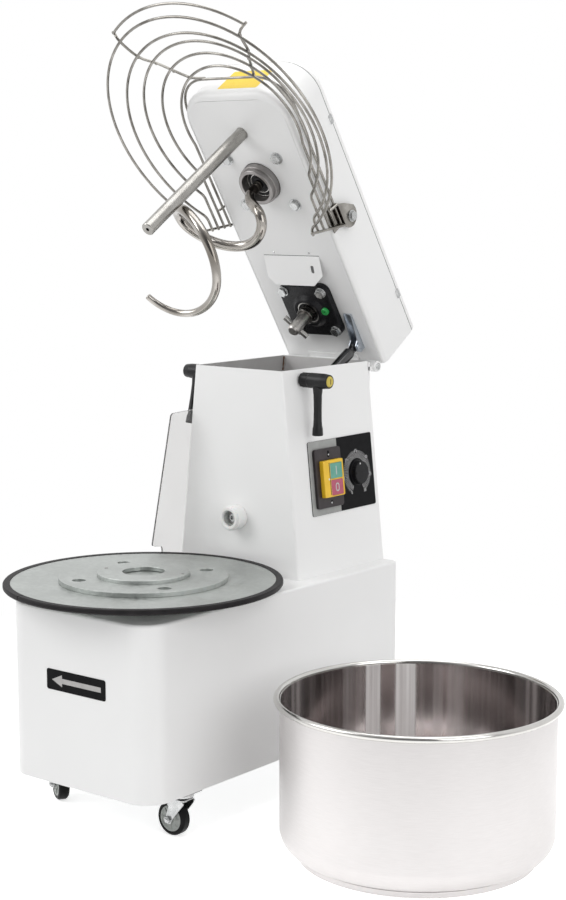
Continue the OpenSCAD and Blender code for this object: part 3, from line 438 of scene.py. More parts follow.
def fillet(points, closed=True, steps=6):
    """Rounds the corners of a line of (x, y, radius) or (x, y) points."""
    out = []
    count = len(points)
    for i, p in enumerate(points):
        r = p[2] if len(p) > 2 else 0
        here = Vector(p[:2])
        if r <= 0 or (not closed and i in (0, count - 1)):
            out.append(tuple(here))
            continue
        a = Vector(points[i - 1][:2]) - here
        b = Vector(points[(i + 1) % count][:2]) - here
        angle = a.angle(b)
        if angle > PI - 1e-3:
            out.append(tuple(here))
            continue
        # A corner keeps to its half of a side that it shares with another rounded corner.
        room_a = a.length * 0.499 if rounded(points[i - 1]) else a.length
        room_b = b.length * 0.499 if rounded(points[(i + 1) % count]) else b.length
        reach = min(r / math.tan(angle / 2), room_a, room_b)
        radius = reach * math.tan(angle / 2)
        a.normalize()
        b.normalize()
        centre = here + (a + b).normalized() * (radius / math.sin(angle / 2))
        start = here + a * reach - centre
        sweep = start.angle_signed(here + b * reach - centre)
        for k in range(steps + 1):
            turned = start.copy()
            turned.rotate(Matrix.Rotation(-sweep * k / steps, 2))
            out.append(tuple(centre + turned))
    return out


def ring(cx, cy, r, count=48):
    turns = [2 * PI * k / count for k in range(count)]
    return [(cx + r * math.cos(a), cy + r * math.sin(a)) for a in turns]


def box_plan(x0, x1, y0, y1, r=0.0, steps=6):
    return fillet([(x0, y0, r), (x1, y0, r), (x1, y1, r), (x0, y1, r)], steps=steps)


def cleaned(mesh, merge=False):
    """Turns all faces outward, after merging the points that lie on each other."""
    bm = bmesh.new()
    bm.from_mesh(mesh)
    if merge:
        bmesh.ops.remove_doubles(bm, verts=bm.verts, dist=1e-6)
    bmesh.ops.recalc_face_normals(bm, faces=bm.faces)
    bm.to_mesh(mesh)
    bm.free()
    return mesh


def plate_mesh(name, loops, z0, z1, edge=0.3):
    """A flat plate from its outline and holes, with rounded edges."""
    curve = bpy.data.curves.new(name, "CURVE")
    curve.dimensions = "2D"
    curve.fill_mode = "BOTH"
    curve.extrude = ((z1 - z0) / 2 - edge) * MM
    curve.bevel_depth = edge * MM
    curve.bevel_resolution = 2
    curve.offset = -edge * MM
    for loop in loops:
        spline = curve.splines.new("POLY")
        spline.points.add(len(loop) - 1)
        for point, (x, y) in zip(spline.points, loop):
            point.co = (x * MM, y * MM, 0, 1)
        spline.use_cyclic_u = True
    obj = in_scene(name, curve)
    mesh = settle(obj)
    bpy.data.objects.remove(obj)
    mesh.transform(move(0, 0, (z0 + z1) / 2))
    return cleaned(mesh, merge=True)


def plate(name, loops, z0, z1, material, body, where=FLOOR, edge=0.3, **more):
    return show(name, plate_mesh(name, loops, z0, z1, edge), material, body, where, sharp=30, **more)


def lathe_mesh(name, profile, sides=96, closed=False, steps=4):
    """Turns a line of (r, z, fillet) points about Z. A closed profile makes a ring."""
    line = fillet(profile, closed=closed, steps=steps)
    verts, faces, rows = [], [], []
    for r, z in line:
        if r < 1e-6:
            rows.append([len(verts)])
            verts.append((0, 0, z))
        else:
            rows.append(list(range(len(verts), len(verts) + sides)))
            verts += [(*polar(r, 2 * PI * k / sides), z) for k in range(sides)]
    pairs = list(zip(rows, rows[1:])) + ([(rows[-1], rows[0])] if closed else [])
    for low, high in pairs:
        for k in range(sides):
            n = (k + 1) % sides
            if len(low) == 1 and len(high) == 1:
                continue
            if len(low) == 1:
                faces.append((low[0], high[n], high[k]))
            elif len(high) == 1:
                faces.append((low[k], low[n], high[0]))
            else:
                faces.append((low[k], low[n], high[n], high[k]))
    return cleaned(mesh_of(name, verts, faces))


def lathe(name, profile, material, body, where=FLOOR, sides=96, closed=False, sharp=30, **more):
    return show(name, lathe_mesh(name, profile, sides, closed), material, body, where, sharp=sharp, **more)


def along(points, per=6):
    """A smooth line through points of any size."""
    out = []
    count = len(points)
    for i in range(count - 1):
        a, b, c, d = points[max(i - 1, 0)], points[i], points[i + 1], points[min(i + 2, count - 1)]
        for k in range(per):
            t = k / per
            out.append(tuple(0.5 * (2 * q + (r - p) * t + (2 * p - 5 * q + 4 * r - s) * t * t
                                    + (3 * q - p - 3 * r + s) * t ** 3)
                             for p, q, r, s in zip(a, b, c, d)))
    out.append(tuple(points[-1]))
    return out


def tube_mesh(name, line, radii, sides=16, round_end=0.6):
    """A rod along a line, with one radius or one for each point, and softly rounded ends."""
    pts = [Vector(p) for p in line]
    if not isinstance(radii, (list, tuple)):
        radii = [radii] * len(pts)
    ways = [(pts[min(i + 1, len(pts) - 1)] - pts[max(i - 1, 0)]).normalized() for i in range(len(pts))]
    up = ways[0].orthogonal().normalized()
    rows = []
    ends = [(0.0, 1 - round_end), (0.35 * round_end, 1 - 0.3 * round_end)] if round_end else []
    for i, (p, r, w) in enumerate(zip(pts, radii, ways)):
        up = (up - w * up.dot(w)).normalized()
        side = w.cross(up)
        if i == 0:
            rows += [(p + w * (r * back), r * size, up.copy(), side.copy()) for back, size in ends]
            p = p + w * (r * round_end)
        if i == len(pts) - 1:
            rows.append((p - w * (r * round_end), r, up.copy(), side.copy()))
            rows += [(p - w * (r * back), r * size, up.copy(), side.copy()) for back, size in reversed(ends)]
        else:
            rows.append((p, r, up.copy(), side.copy()))
    verts = []
    for p, r, u, s in rows:
        for k in range(sides):
            a = 2 * PI * k / sides
            verts.append(tuple(p + (u * math.cos(a) + s * math.sin(a)) * r))
    faces = bands(range(0, len(verts), sides), sides)
    faces.append(tuple(reversed(range(sides))))
    faces.append(tuple(range((len(rows) - 1) * sides, len(rows) * sides)))
    return mesh_of(name, verts, faces)


def join(name, meshes):
    """Several meshes in one."""
    bm = bmesh.new()
    for mesh in meshes:
        bm.from_mesh(mesh)
    out = bpy.data.meshes.new(name)
    bm.to_mesh(out)
    bm.free()
    return out


def moved(mesh, matrix):
    """Moves the mesh itself, so a mesh is moved once; mirrored faces are turned outward again."""
    mesh.transform(matrix)
    if matrix.determinant() < 0:
        mesh.flip_normals()
    return mesh


def hexagon(r, h, chamfer=0.6):
    """A hex bolt head of across-corner radius r, from z 0 to -h, with its top's corners turned off."""
    verts, faces, rows = [], [], []
    for z, size in ((0, 1), (-h + chamfer, 1), (-h, 0.86)):
        rows.append(len(verts))
        verts += [(*polar(r * size, PI * k / 3), z) for k in range(6)]
    for a, b in zip(rows, rows[1:]):
        faces += [(a + k, b + k, b + (k + 1) % 6, a + (k + 1) % 6) for k in range(6)]
    faces += [tuple(rows[0] + k for k in range(6)), tuple(rows[2] + k for k in reversed(range(6)))]
    return mesh_of("hex", verts, faces)


def box_mesh(x0, x1, y0, y1, z0, z1):
    verts = [(x, y, z) for z in (z0, z1) for y in (y0, y1) for x in (x0, x1)]
    faces = [(0, 2, 3, 1), (4, 5, 7, 6), (0, 1, 5, 4), (2, 6, 7, 3), (0, 4, 6, 2), (1, 3, 7, 5)]
    return mesh_of("box", verts, faces)


# ---------------------------------------------------------------- camera, light and floor

# The photo's size and focal length in pixels, and the camera's place and direction in metres.
PHOTO_WIDE, PHOTO_TALL, FOCAL = 566, 900, 1826.6
FILM = 36
EYE = (2.144, -2.307, 1.0874)
AHEAD = (-0.61575, 0.77541, -0.13996)


def make_camera():
    cam = bpy.data.cameras.new("camera")
    cam.sensor_fit = "VERTICAL"
    cam.sensor_height = FILM
    cam.sensor_width = FILM * PHOTO_WIDE / PHOTO_TALL
    cam.lens = FOCAL / PHOTO_TALL * FILM
    cam.clip_start = 0.05
    cam.clip_end = 100
    obj = in_scene("camera", cam)
    ahead = Vector(AHEAD).normalized()
    side = ahead.cross(Vector((0, 0, 1))).normalized()
    up = side.cross(ahead)
    obj.matrix_world = Matrix((
        (side.x, up.x, -ahead.x, EYE[0]),
        (side.y, up.y, -ahead.y, EYE[1]),
        (side.z, up.z, -ahead.z, EYE[2]),
        (0, 0, 0, 1),
    ))
    bpy.context.scene.camera = obj


def make_light(name, at, aim, size, power):
    """An area light: its place and aim in metres, its width and height, and its watts."""
    data = bpy.data.lights.new(name, "AREA")
    data.shape = "RECTANGLE"
    data.size, data.size_y = size
    data.energy = power
    way = (Vector(aim) - Vector(at)).to_track_quat("-Z", "Y")
    in_scene(name, data).matrix_world = Matrix.Translation(at) @ way.to_matrix().to_4x4()


def mixed(tree, share, a, b):
    return feed(tree, "ShaderNodeMixShader", share, a, b).outputs[0]


def seen_by(tree, *kinds):
    """1 for the named kinds of ray, and 0 for the rest."""
    rays = add(tree, "ShaderNodeLightPath").outputs
    share = rays[f"Is {kinds[0]} Ray"]
    for kind in kinds[1:]:
        share = maths(tree, "MAXIMUM", share, rays[f"Is {kind} Ray"])
    return share


def glow(tree, kind, strength):
    return add(tree, kind, i_Color=(1, 1, 1, 1), i_Strength=strength).outputs[0]


def make_world():
    """White where it is seen, dim where it lights; metal mirrors a room that is dark at the camera."""
    camera_side = (0.62, -0.78, 0.0)
    world = bpy.data.worlds.new("studio")
    bpy.context.scene.world = world
    world.use_nodes = True
    tree = world.node_tree
    tree.nodes.clear()
    way = add(tree, "ShaderNodeTexCoord").outputs["Generated"]
    facing = vectors(tree, "DOT_PRODUCT", way, camera_side)
    room = blend_colour(tree, between(tree, facing, 0, 1, -1, 1),
                        (1.0, 1.0, 1.0), (0.16, 0.16, 0.165), 0.55, 0.95)
    mirrored = feed(tree, "ShaderNodeBackground", room, 1.0).outputs[0]
    lighting = mixed(tree, seen_by(tree, "Glossy"), glow(tree, "ShaderNodeBackground", 0.55), mirrored)
    seen = seen_by(tree, "Camera", "Transmission")
    surface = mixed(tree, seen, lighting, glow(tree, "ShaderNodeBackground", 1.0))
    link(tree, surface, add(tree, "ShaderNodeOutputWorld").inputs["Surface"])


def make_floor():
    """A white floor: a little grey under the object's shadow, and dimmer where it lights the object."""
    s = 14
    middle, fade_from, fade_to = (0.25, 0.2, 0), 0.75, 1.7
    mesh = bpy.data.meshes.new("floor")
    mesh.from_pydata([(-s, -s, 0), (s, -s, 0), (s, s, 0), (-s, s, 0)], [], [(0, 1, 2, 3)])
    floor = in_scene("floor", mesh)
    m = bpy.data.materials.new("studio_floor")
    m.use_nodes = True
    tree = m.node_tree
    tree.nodes.clear()
    lit = add(tree, "ShaderNodeBsdfDiffuse", i_Color=(0.80, 0.80, 0.80, 1)).outputs[0]
    seen = add(tree, "ShaderNodeBsdfDiffuse", i_Color=(0.92, 0.92, 0.92, 1)).outputs[0]
    near = feed(tree, "ShaderNodeAddShader", seen, glow(tree, "ShaderNodeEmission", 0.63)).outputs[0]
    # Away from the object's shadow the floor runs out into plain white.
    away = vectors(tree, "DISTANCE", object_place(tree), middle)
    plain = glow(tree, "ShaderNodeEmission", 1.0)
    shown = mixed(tree, between(tree, away, 0, 1, fade_from, fade_to), near, plain)
    surface = mixed(tree, seen_by(tree, "Camera", "Glossy", "Transmission"), lit, shown)
    link(tree, surface, add(tree, "ShaderNodeOutputMaterial").inputs["Surface"])
    mesh.materials.append(m)


bpy.context.scene.view_settings.view_transform = "Standard"
make_camera()
make_world()
make_floor()
make_light("key", (-2.2, -2.6, 3.0), (0.1, 0.1, 0.7), (2.4, 2.4), 68)
make_light("fill", (3.2, -0.8, 1.9), (0.2, 0.2, 0.7), (2.2, 2.6), 36)
make_light("top", (0.2, 0.6, 3.6), (0.2, 0.1, 0.5), (2.6, 2.2), 36)


# ---------------------------------------------------------------- base and column

def shell_walls(name, rings, thickness, top=True):
    """Sheet walls through outlines of the same length, drawn one above another and thickened inward."""
    count = len(rings[0][1])
    verts = [(x, y, z) for z, loop in rings for x, y in loop]
    faces = bands(range(0, len(verts), count), count)
    if top:
        faces.append(tuple((len(rings) - 1) * count + k for k in range(count)))
    obj = in_scene(name, mesh_of(name, verts, faces))
    mod = obj.modifiers.new("sheet", "SOLIDIFY")
    mod.thickness = thickness * MM
    mod.offset = -1
    mod.use_even_offset = True
    settle(obj)
    mesh = obj.data
    bpy.data.objects.remove(obj)
    return mesh


def base_plan(inset):
    """The base cabinet from above: wide corners in front, tight ones behind."""
    left, right, front, back = BASE_LEFT + inset, BASE_RIGHT - inset, BASE_FRONT + inset, BACK - inset
    wide, tight = 48 - inset, 12 - inset
    corners = [(left, front, wide), (right, front, wide), (right, back, tight), (left, back, tight)]
    return fillet(corners, steps=14)


def column_plan(half, front=COLUMN_FRONT, back=BACK):
    return box_plan(-half, half, front, back, 5, steps=5)


def make_base():
    edge = 5
    rings = [(z, base_plan(0)) for z in (BASE_FOOT, BASE_FOOT + 0.6, 250)]
    for a in (0, 22.5, 45, 67.5, 90):
        rings.append((BASE_TOP - edge * (1 - math.sin(deg(a))), base_plan(edge * (1 - math.cos(deg(a))))))
    show("base_cabinet", shell_walls("base_cabinet", rings, SHEET), "paint", "frame", nodes=["base_shell"],
         slot="white_paint", sharp=60)


def make_arrow_plate():
    """A black plate low on the front, with a printed arrow."""
    where = move(0, BASE_FRONT, 0) @ turn(90, "X")
    plate("arrow_plate_black", [box_plan(-57.5, 80.5, 248, 284, 4)], 0, 0.8, "panel", "frame", where,
          edge=0.25, nodes=["arrow_plate"], slot="panel_black")
    arrow = [(-45, 266), (-21, 276.5), (-21, 270.4), (70, 270.4), (70, 261.6), (-21, 261.6), (-21, 255.5)]
    plate("arrow_print", [arrow], 0.8, 0.92, "arrow", "frame", where, edge=0.02)


def make_column():
    # The cabinet, its corners bent from the sheet.
    heights = ((BASE_TOP, FOOT_HALF), (BASE_TOP + COLUMN_TALL / 2, FOOT_HALF - TAPER / 2),
               (COLUMN_TOP - 0.8, TOP_HALF + 0.1), (COLUMN_TOP, TOP_HALF))
    rings = [(z, column_plan(half)) for z, half in heights]
    show("column_cabinet", shell_walls("column_cabinet", rings, SHEET, top=False), "paint", "frame",
         nodes=["column_shell"], slot="white_paint", sharp=50)
    # Bare sheet inside the mouth, with a burnt weld in each rear corner.
    rings = []
    for z in (646, 766.4):
        half = FOOT_HALF - TAPER * (z - BASE_TOP) / COLUMN_TALL - 2.15
        rings.append((z, box_plan(-half, half, 260.7, 523.8)))
    show("column_mouth_lining", shell_walls("lining", rings, 0.2, top=False), "bare", "frame", sharp=30)
    for k, x in enumerate((-100.6, 100.6)):
        line = [(x * (1 + 0.0042 * n), 522.9 + 0.3 * math.sin(2.1 * n), 764.5 - 3.5 * n) for n in range(9)]
        radii = [1.7 + 0.5 * math.sin(1.9 * n) for n in range(9)]
        show(f"mouth_weld_{k}", tube_mesh("weld", line, radii, 8, 0.4), "tarnish", "frame", sharp=60)
    # A weld bead along the foot of the column.
    foot = column_plan(143.6, 258.9, 525.6)
    line = [(x, y, BASE_TOP + 0.4) for x, y in foot + foot[:1]]
    show("column_foot_seam", tube_mesh("seam", line, 1.1, 8, 0), "paint", "frame", sharp=60)


def make_bumper():
    where = move(0, COLUMN_FRONT, 490) @ turn(90, "X")
    ring_line = [(4.2, 0, 0), (22, 0, 1.5), (23, 2, 1), (23, 24.5, 0.8), (21, 25.2, 0.6), (21, 29, 1.6),
                 (15.6, 29, 1.6), (13.6, 25.5, 1), (13, 12, 1), (4.2, 12, 0.3)]
    lathe("nylon_bumper", ring_line, "nylon", "frame", where, sides=64, closed=True, nodes=["bumper"],
          slot="white_nylon")
    grooves = [(12.9 if k % 2 else 12.2, 25.4 - 0.9 * k, 0) for k in range(15)]
    lathe("bumper_liner", grooves, "hub", "frame", where, sides=64)
    head = [(0, 13.5), (3.6, 13.5, 0.3), (3.9, 17, 0.3), (7.4, 17, 0.6), (8, 15.8, 0.5), (8, 12, 0)]
    shank = [(0, -8), (4, -8, 0.5), (4, 12.4)]
    screw = join("screw", [lathe_mesh("head", head, 48), lathe_mesh("shank", shank, 32)])
    show("bumper_screw", screw, "zinc", "frame", where)


def make_shield():
    """The clear sheet on the column's left side, held by two round-headed screws."""
    thick, screws_y, screws_z = 4, 300, (440, 660)
    line = [(176, slope(429), 5), (203, slope(425), 3), (206, slope(415), 3), (206, slope(392), 6),
            (330, slope(392), 8), (330, slope(684), 8), (203, slope(679), 7)]
    holes = [ring(screws_y, slope(z), 2.6, 24) for z in screws_z]
    where = LEFT @ move(-thick, 0, 0) @ turn(90, "Y") @ turn(90, "Z")
    plate("clear_shield", [fillet(line, steps=5)] + holes, 0, thick, "clear", "frame", where, edge=0.4,
          nodes=["side_shield"], slot="clear_plastic")
    dome = [(0, 0.1), (0.0, 2.6), (2.2, 2.5, 0.6), (4.6, 1.2, 0.8), (4.8, 0.05, 0.1), (0, 0.05)]
    for k, z in enumerate(screws_z):
        at = LEFT @ move(-thick, screws_y, slope(z)) @ turn(-90, "Y")
        show(f"shield_screw_{k}", lathe_mesh("dome", dome, 32), "zinc", "frame", at)


# ---------------------------------------------------------------- controls on the right side

# How far the plate, the switch's surround and its keys stand out, and the timer's place on the plate.
PLATE_OUT, SURROUND_OUT, KEY_OUT = 1.5, 7.5, 15.2
DIAL_Y, DIAL_UP = 459, slope(561)

def face_plate(name, loops, n0, n1, material, body="frame", edge=0.2, **more):
    """A plate on the column's right side: outline in y and slope height, thickness outward."""
    where = RIGHT @ turn(90, "Y") @ turn(90, "Z")
    return plate(name, loops, n0, n1, material, body, where, edge=edge, **more)


def words(text, size, material, body, where, name):
    curve = bpy.data.curves.new(name, "FONT")
    curve.body = text
    curve.size = size * MM
    curve.align_x = "CENTER"
    curve.align_y = "CENTER"
    curve.extrude = 0.05 * MM
    obj = in_scene(name, curve)
    mesh = settle(obj)
    bpy.data.objects.remove(obj)
    return show(name, mesh, material, body, where, sharp=30)


def make_control_plate():
    hole = ring(DIAL_Y, DIAL_UP, 4.2, 32)
    low, high = slope(495.5), slope(632.5)
    face_plate("control_plate_black", [box_plan(314, 511.5, low, high, 4), hole], 0, PLATE_OUT, "panel",
               nodes=["control_plate"], slot="panel_black")
    low, high = slope(495.7), slope(632.3)
    grey = fillet([(314.2, low, 3.8), (401, low, 0), (401, high, 0), (314.2, high, 3.8)])
    face_plate("control_plate_print", [grey], PLATE_OUT, PLATE_OUT + 0.06, "panel_grey", edge=0.02)


def make_switch():
    """A black surround with a screw at each end, each in a black patch painted as the shade of its hole, and a
    yellow box with the two keys' openings.
    """
    inner = box_plan(338.2, 398.8, slope(527.2), slope(595.3), 3)
    outer = box_plan(325, 404, slope(507.5), slope(617.5), 6)
    face_plate("switch_surround", [outer, inner], PLATE_OUT, SURROUND_OUT, "surround",
               edge=0.9, nodes=["switch_frame"], slot="black_plastic")
    # A thin black patch round each screw is painted shade for its hole: a round one below, a slot above.
    for k, (z, tall) in enumerate(((517.5, 3.2), (606.5, 6.5))):
        hole_shade = box_plan(362.8, 369.2, slope(z) - tall, slope(z) + tall, 3.2)
        face_plate(f"switch_screw_hole_shade_{k}", [hole_shade], 7.45, 7.56, "panel", edge=0.02)
        screw = lathe_mesh("screw", [(0, 0.3), (1.5, 0.3, 0.2), (1.8, 0.1, 0)], 24)
        at = RIGHT @ move(SURROUND_OUT, 366 + k, slope(z - 1.5)) @ turn(90, "Y")
        show(f"switch_screw_{k}", screw, "zinc", "frame", at)
    box = box_plan(338.3, 398.7, slope(527.3), slope(595.2), 3)
    keys = [box_plan(358.8, 395.2, slope(z), slope(z + 28.9), 2) for z in (529.3, 560.3)]
    face_plate("switch_box_rim", [box] + keys, 6.1, 15.5, "yellow", edge=0.8, nodes=["switch_body"],
               slot="switch_yellow")
    face_plate("switch_box_floor", [box], PLATE_OUT, 6.1, "yellow", edge=0.3)
    rib = box_plan(355.2, 356.8, slope(531), slope(591), 0.7)
    face_plate("switch_hinge_rib", [rib], 15.4, 15.8, "surround", edge=0.1)
    dot = lathe_mesh("dot", [(0, 1.0), (1.6, 0.9, 0.6), (2.2, 0.0, 0.2)], 24)
    show("switch_pivot_dot", dot, "nylon", "frame", RIGHT @ move(15.4, 353.4, slope(560.5)) @ turn(90, "Y"))


def make_keys():
    """The green key with its bar, above the red key with its loop."""
    bar = [box_plan(-1.3, 1.3, -8, 8, 0.4)]
    loop = [box_plan(-5.5, 5.5, -8, 8, 5.4, steps=8), box_plan(-3.2, 3.2, -5.7, 5.7, 3.1, steps=8)]
    for name, z0, z1, colour, mark in (("start", 560.5, 589, "green", bar), ("stop", 529.5, 558, "red", loop)):
        outline = [box_plan(359, 395, slope(z0), slope(z1), 2)]
        face_plate(f"{name}_key", outline, 9.2, KEY_OUT, colour, name, edge=0.9, nodes=[f"{name}_button"],
                   slot=f"button_{colour}")
        at = RIGHT @ move(KEY_OUT, 377, slope((z0 + z1) / 2)) @ turn(90, "Y") @ turn(90, "Z")
        show(f"{name}_mark", plate_mesh("mark", mark, 0, 0.1, 0.02), "mark", name, at)


def timer_grip():
    """The fluted grip, narrower and softer towards its top."""
    count, flutes = 192, 32
    turns = [2 * PI * k / count for k in range(count)]
    outline = [(22.1 + 0.38 * math.cos(flutes * a), a) for a in turns]
    verts, rows = [], []
    for z, size in ((4.8, 1.0), (12.2, 0.965), (13.1, 0.94), (13.5, 0.9)):
        rows.append(len(verts))
        verts += [(*polar(r * size, a), z) for r, a in outline]
    faces = bands(rows, count)
    faces.append(tuple(rows[-1] + k for k in range(count)))
    return mesh_of("grip", verts, faces)


def make_dial():
    """The timer: ticks from 0 to 30, cut short where a number stands outside them, and a fluted knob."""
    at = RIGHT @ move(0, DIAL_Y, DIAL_UP) @ turn(90, "Y") @ turn(90, "Z")
    first, step, per_number = 240, 5, 10
    ticks = []
    for k in range(61):
        out, half = (36.5, 0.42) if k % per_number == 0 else (42.5, 0.34)
        tick = box_mesh(27.5, out, -half, half, 1.5, 1.58)
        ticks.append(moved(tick, Matrix.Rotation(deg(first - step * k), 4, "Z")))
    show("dial_ticks", join("dial_ticks", ticks), "print", "frame", at, sharp=20)
    for k in range(7):
        x, y = polar(41.5, deg(first - step * per_number * k))
        words(str(5 * k), 8, "print", "frame", at @ move(x, y, 1.55), f"dial_number_{k}")
    skirt = lathe_mesh("skirt", [(4, 0.2), (4, 1.8), (24, 1.8, 0.3), (24, 4.8, 0.9), (0, 4.8)], 96)
    bar = plate_mesh("bar", [box_plan(-19, 19, -2, 2, 1.8)], 13.2, 14.5, 0.4)
    show("timer_grip", join("timer_grip", [skirt, timer_grip(), bar]), "knob", "timer", at,
         nodes=["timer_knob"], slot="black_plastic", sharp=30)
    dot = lathe_mesh("dot", [(0, 0.1), (1.6, 0.1, 0.05), (1.7, 0)], 24)
    show("timer_dot", moved(dot, move(-4, 17.2, 13.5)), "print", "timer", at)


make_base()
make_arrow_plate()
make_column()
make_bumper()
make_shield()
make_control_plate()
make_switch()
make_keys()
make_dial()


# ---------------------------------------------------------------- turntable

def edging():
    """A folded rubber strip round the turntable, whose ends meet in a small gap."""
    line = fillet([(229.5, -0.2, 0.4), (229, -8.5, 1.2), (243, -8.5, 1.5), (245, -6, 1.5), (245, -1, 1.5),
                   (243.4, 1, 1.2), (232.5, 1, 1.2), (231.8, 0.15, 0.4), (240.7, 0.1, 0), (240.7, -3.2, 0),
                   (232, -3.2, 0)], steps=3)
    steps, gap, count = 180, 0.0042, len(line)
    verts = []
    for k in range(steps + 1):
        a = deg(-107) + gap + (2 * PI - 2 * gap) * k / steps
        verts += [(*polar(r, a), z) for r, z in line]
    faces = bands(range(0, len(verts), count), count)
    faces += [tuple(reversed(range(count))), tuple(range(steps * count, (steps + 1) * count))]
    return cleaned(mesh_of("edging", verts, faces))


def make_turntable():
    at = move(0, 0, TABLE_Z)
    lathe("turntable_sheet", [(42, -3, 0.2), (240.6, -3, 0.2), (240.6, 0, 0.3), (42, 0, 0.3)], "galv",
          "turntable", at, sides=160, closed=True, nodes=["turntable_plate"], slot="zinc_plate")
    show("turntable_trim", edging(), "rubber", "turntable", at, nodes=["turntable_edging"],
         slot="rubber_edge", sharp=40)
    holes = [ring(*polar(STUD_CIRCLE, deg(a)), 12, 40) for a in STUD_TURNS]
    plate("bowl_flange_disc", [ring(0, 0, 148.5, 160), ring(0, 0, 42, 80)] + holes, 0, 8, "galv", "turntable",
          at, edge=0.7, nodes=["bowl_flange"], slot="zinc_plate")
    lathe("bowl_hub_disc", [(37, 8, 0.3), (81.6, 8, 0.3), (81.6, 15, 1.6), (37, 15, 1.0)], "galv", "turntable",
          at, sides=128, closed=True, nodes=["bowl_hub"], slot="zinc_plate")
    floor = lathe_mesh("floor", [(0, 7.0), (0, 7.06), (41.5, 7.06, 0.05), (41.6, 6.9)], 96)
    show("bore_floor", floor, "galv", "turntable", at)
    screw = [(0, 0.0), (0, 0.5), (1.2, 0.5, 0), (1.2, 0.9, 0.1), (3.6, 0.9, 0.5), (4.2, 0.0)]
    for k, a in enumerate((18.5, 198.5)):
        where = at @ move(*polar(73, deg(a)), 15)
        show(f"hub_screw_{k}", lathe_mesh("screw", screw, 24), "machined", "turntable", where)


# ---------------------------------------------------------------- casters

# The wheel's axle as seen from the swivel: its trail and its height.
TRAIL, AXLE_Z = 20, 30


def fork_leg(brake):
    """A fork's side: it reaches further forward at its top where it carries a brake."""
    line = [(-14, 66, 3), (-14, 61, 6), (11.6, 30, 3), (14.6, 22, 5), (25, 22, 5), (26.4, 31, 4),
            (18.4, 54, 4)]
    line += [(24, 57, 3), (24, 68.4, 1)] if brake else [(21, 66, 3), (19, 68.4, 1)]
    return fillet(line, steps=4)


def make_fork(key, at, brake):
    """A pressed fork under its swivel race, with a dust ring and a nut and stub at each end of the axle."""
    body = f"fork_{key}"
    legs = []
    for s in (-1, 1):
        leg = plate_mesh("leg", [fork_leg(brake), ring(TRAIL, AXLE_Z, 4.2, 20)], -1.25, 1.25, 0.35)
        legs.append(moved(leg, move(0, s * 14.25, 0) @ turn(90, "X")))
    crown = plate_mesh("crown", [box_plan(-13.5, 20.5, -15.4, 15.4, 5)], 66, 68.5, 0.6)
    race = [(8.9, 66.2), (8.9, 69, 0.4), (15, 71.6, 1.5), (20, 72.5, 1), (20.2, 78.9, 1.2), (6.2, 78.9)]
    show(f"{body}_body", join("fork", legs + [crown, lathe_mesh("race", race, 64)]), "zinc", body, at,
         nodes=[f"caster_{body}"], slot="zinc_plate", sharp=35)
    if brake:
        make_cheeks(body, at)
    seal = lathe_mesh("seal", [(14.5, 70.8), (19.6, 72.1, 0.6), (19.6, 73.4)], 48)
    show(f"{body}_dust_ring", seal, "plastic", body, at)
    ends = []
    for s in (-1, 1):
        end = move(TRAIL, s * 15.5, AXLE_Z)
        stub = lathe_mesh("stub", [(0, 6.6), (2.6, 6.5, 0.6), (3.8, 5.4), (3.8, 4.0)], 24)
        ends += [moved(hexagon(6.5, 4.4), end @ turn(90 * s, "X")), moved(stub, end @ turn(-90 * s, "X"))]
    show(f"{body}_axle", join("axle", ends), "zinc", body, at, bevel=0.25, sharp=30)


def make_cheeks(body, at):
    """The brake's black side cheeks, each on a bright rivet."""
    outline = fillet([(20, 68.2, 3), (19, 56.4, 5), (34, 55, 4), (41, 58, 2.5), (41, 66, 3), (31, 68.2, 2)],
                     steps=5)
    head = [(0, 0.5), (1.3, 0.5, 0), (1.5, 1.0, 0.2), (3.2, 1.0, 0.4), (3.6, 0, 0)]
    cheeks, rivets = [], []
    for s in (-1, 1):
        cheek = plate_mesh("cheek", [outline], -1.2, 1.2, 0.4)
        cheeks.append(moved(cheek, move(0, s * 14.6, 0) @ turn(90, "X")))
        rivets.append(moved(lathe_mesh("rivet", head, 32), move(27.5, s * 15.8, 61.5) @ turn(-90 * s, "X")))
    show(f"{body}_brake_cheeks", join("cheeks", cheeks), "tyre", body, at, sharp=35)
    show(f"{body}_rivets", join("rivets", rivets), "zinc", body, at)


def make_wheel(key, at):
    """A soft tread on a moulded hub with eight ribs on each side."""
    body = f"wheel_{key}"
    wheel = at @ move(TRAIL, 0, AXLE_Z) @ turn(90, "X")
    tread = [(22.4, -10, 1.4), (26.5, -10, 2.5), (30, -7, 3.5), (30, 7, 3.5), (26.5, 10, 2.5), (22.4, 10, 1.4)]
    lathe(f"{body}_tread", tread, "tyre", body, wheel, sides=80, closed=True, nodes=[f"caster_{body}"],
          slot="tyre")
    ribs = []
    for k in range(8):
        for s in (-1, 1):
            rib = box_mesh(9.5, 20.5, -0.7, 0.7, s * 8.2 - 0.9, s * 8.2 + 0.9)
            ribs.append(moved(rib, Matrix.Rotation(PI * k / 4, 4, "Z")))
    half = [(4.3, -10.2, 0.4), (9.4, -10.2, 0.8), (10.2, -7.6, 0.8), (19.6, -7.6, 0.8), (20.6, -9.4, 0.6),
            (22.5, -9.4, 0.3)]
    rim = half + [(r, -z, soft) for r, z, soft in reversed(half)]
    hub = join("hub", [lathe_mesh("rim", rim, 64, closed=True)] + ribs)
    show(f"{body}_hub", hub, "hub", body, wheel)


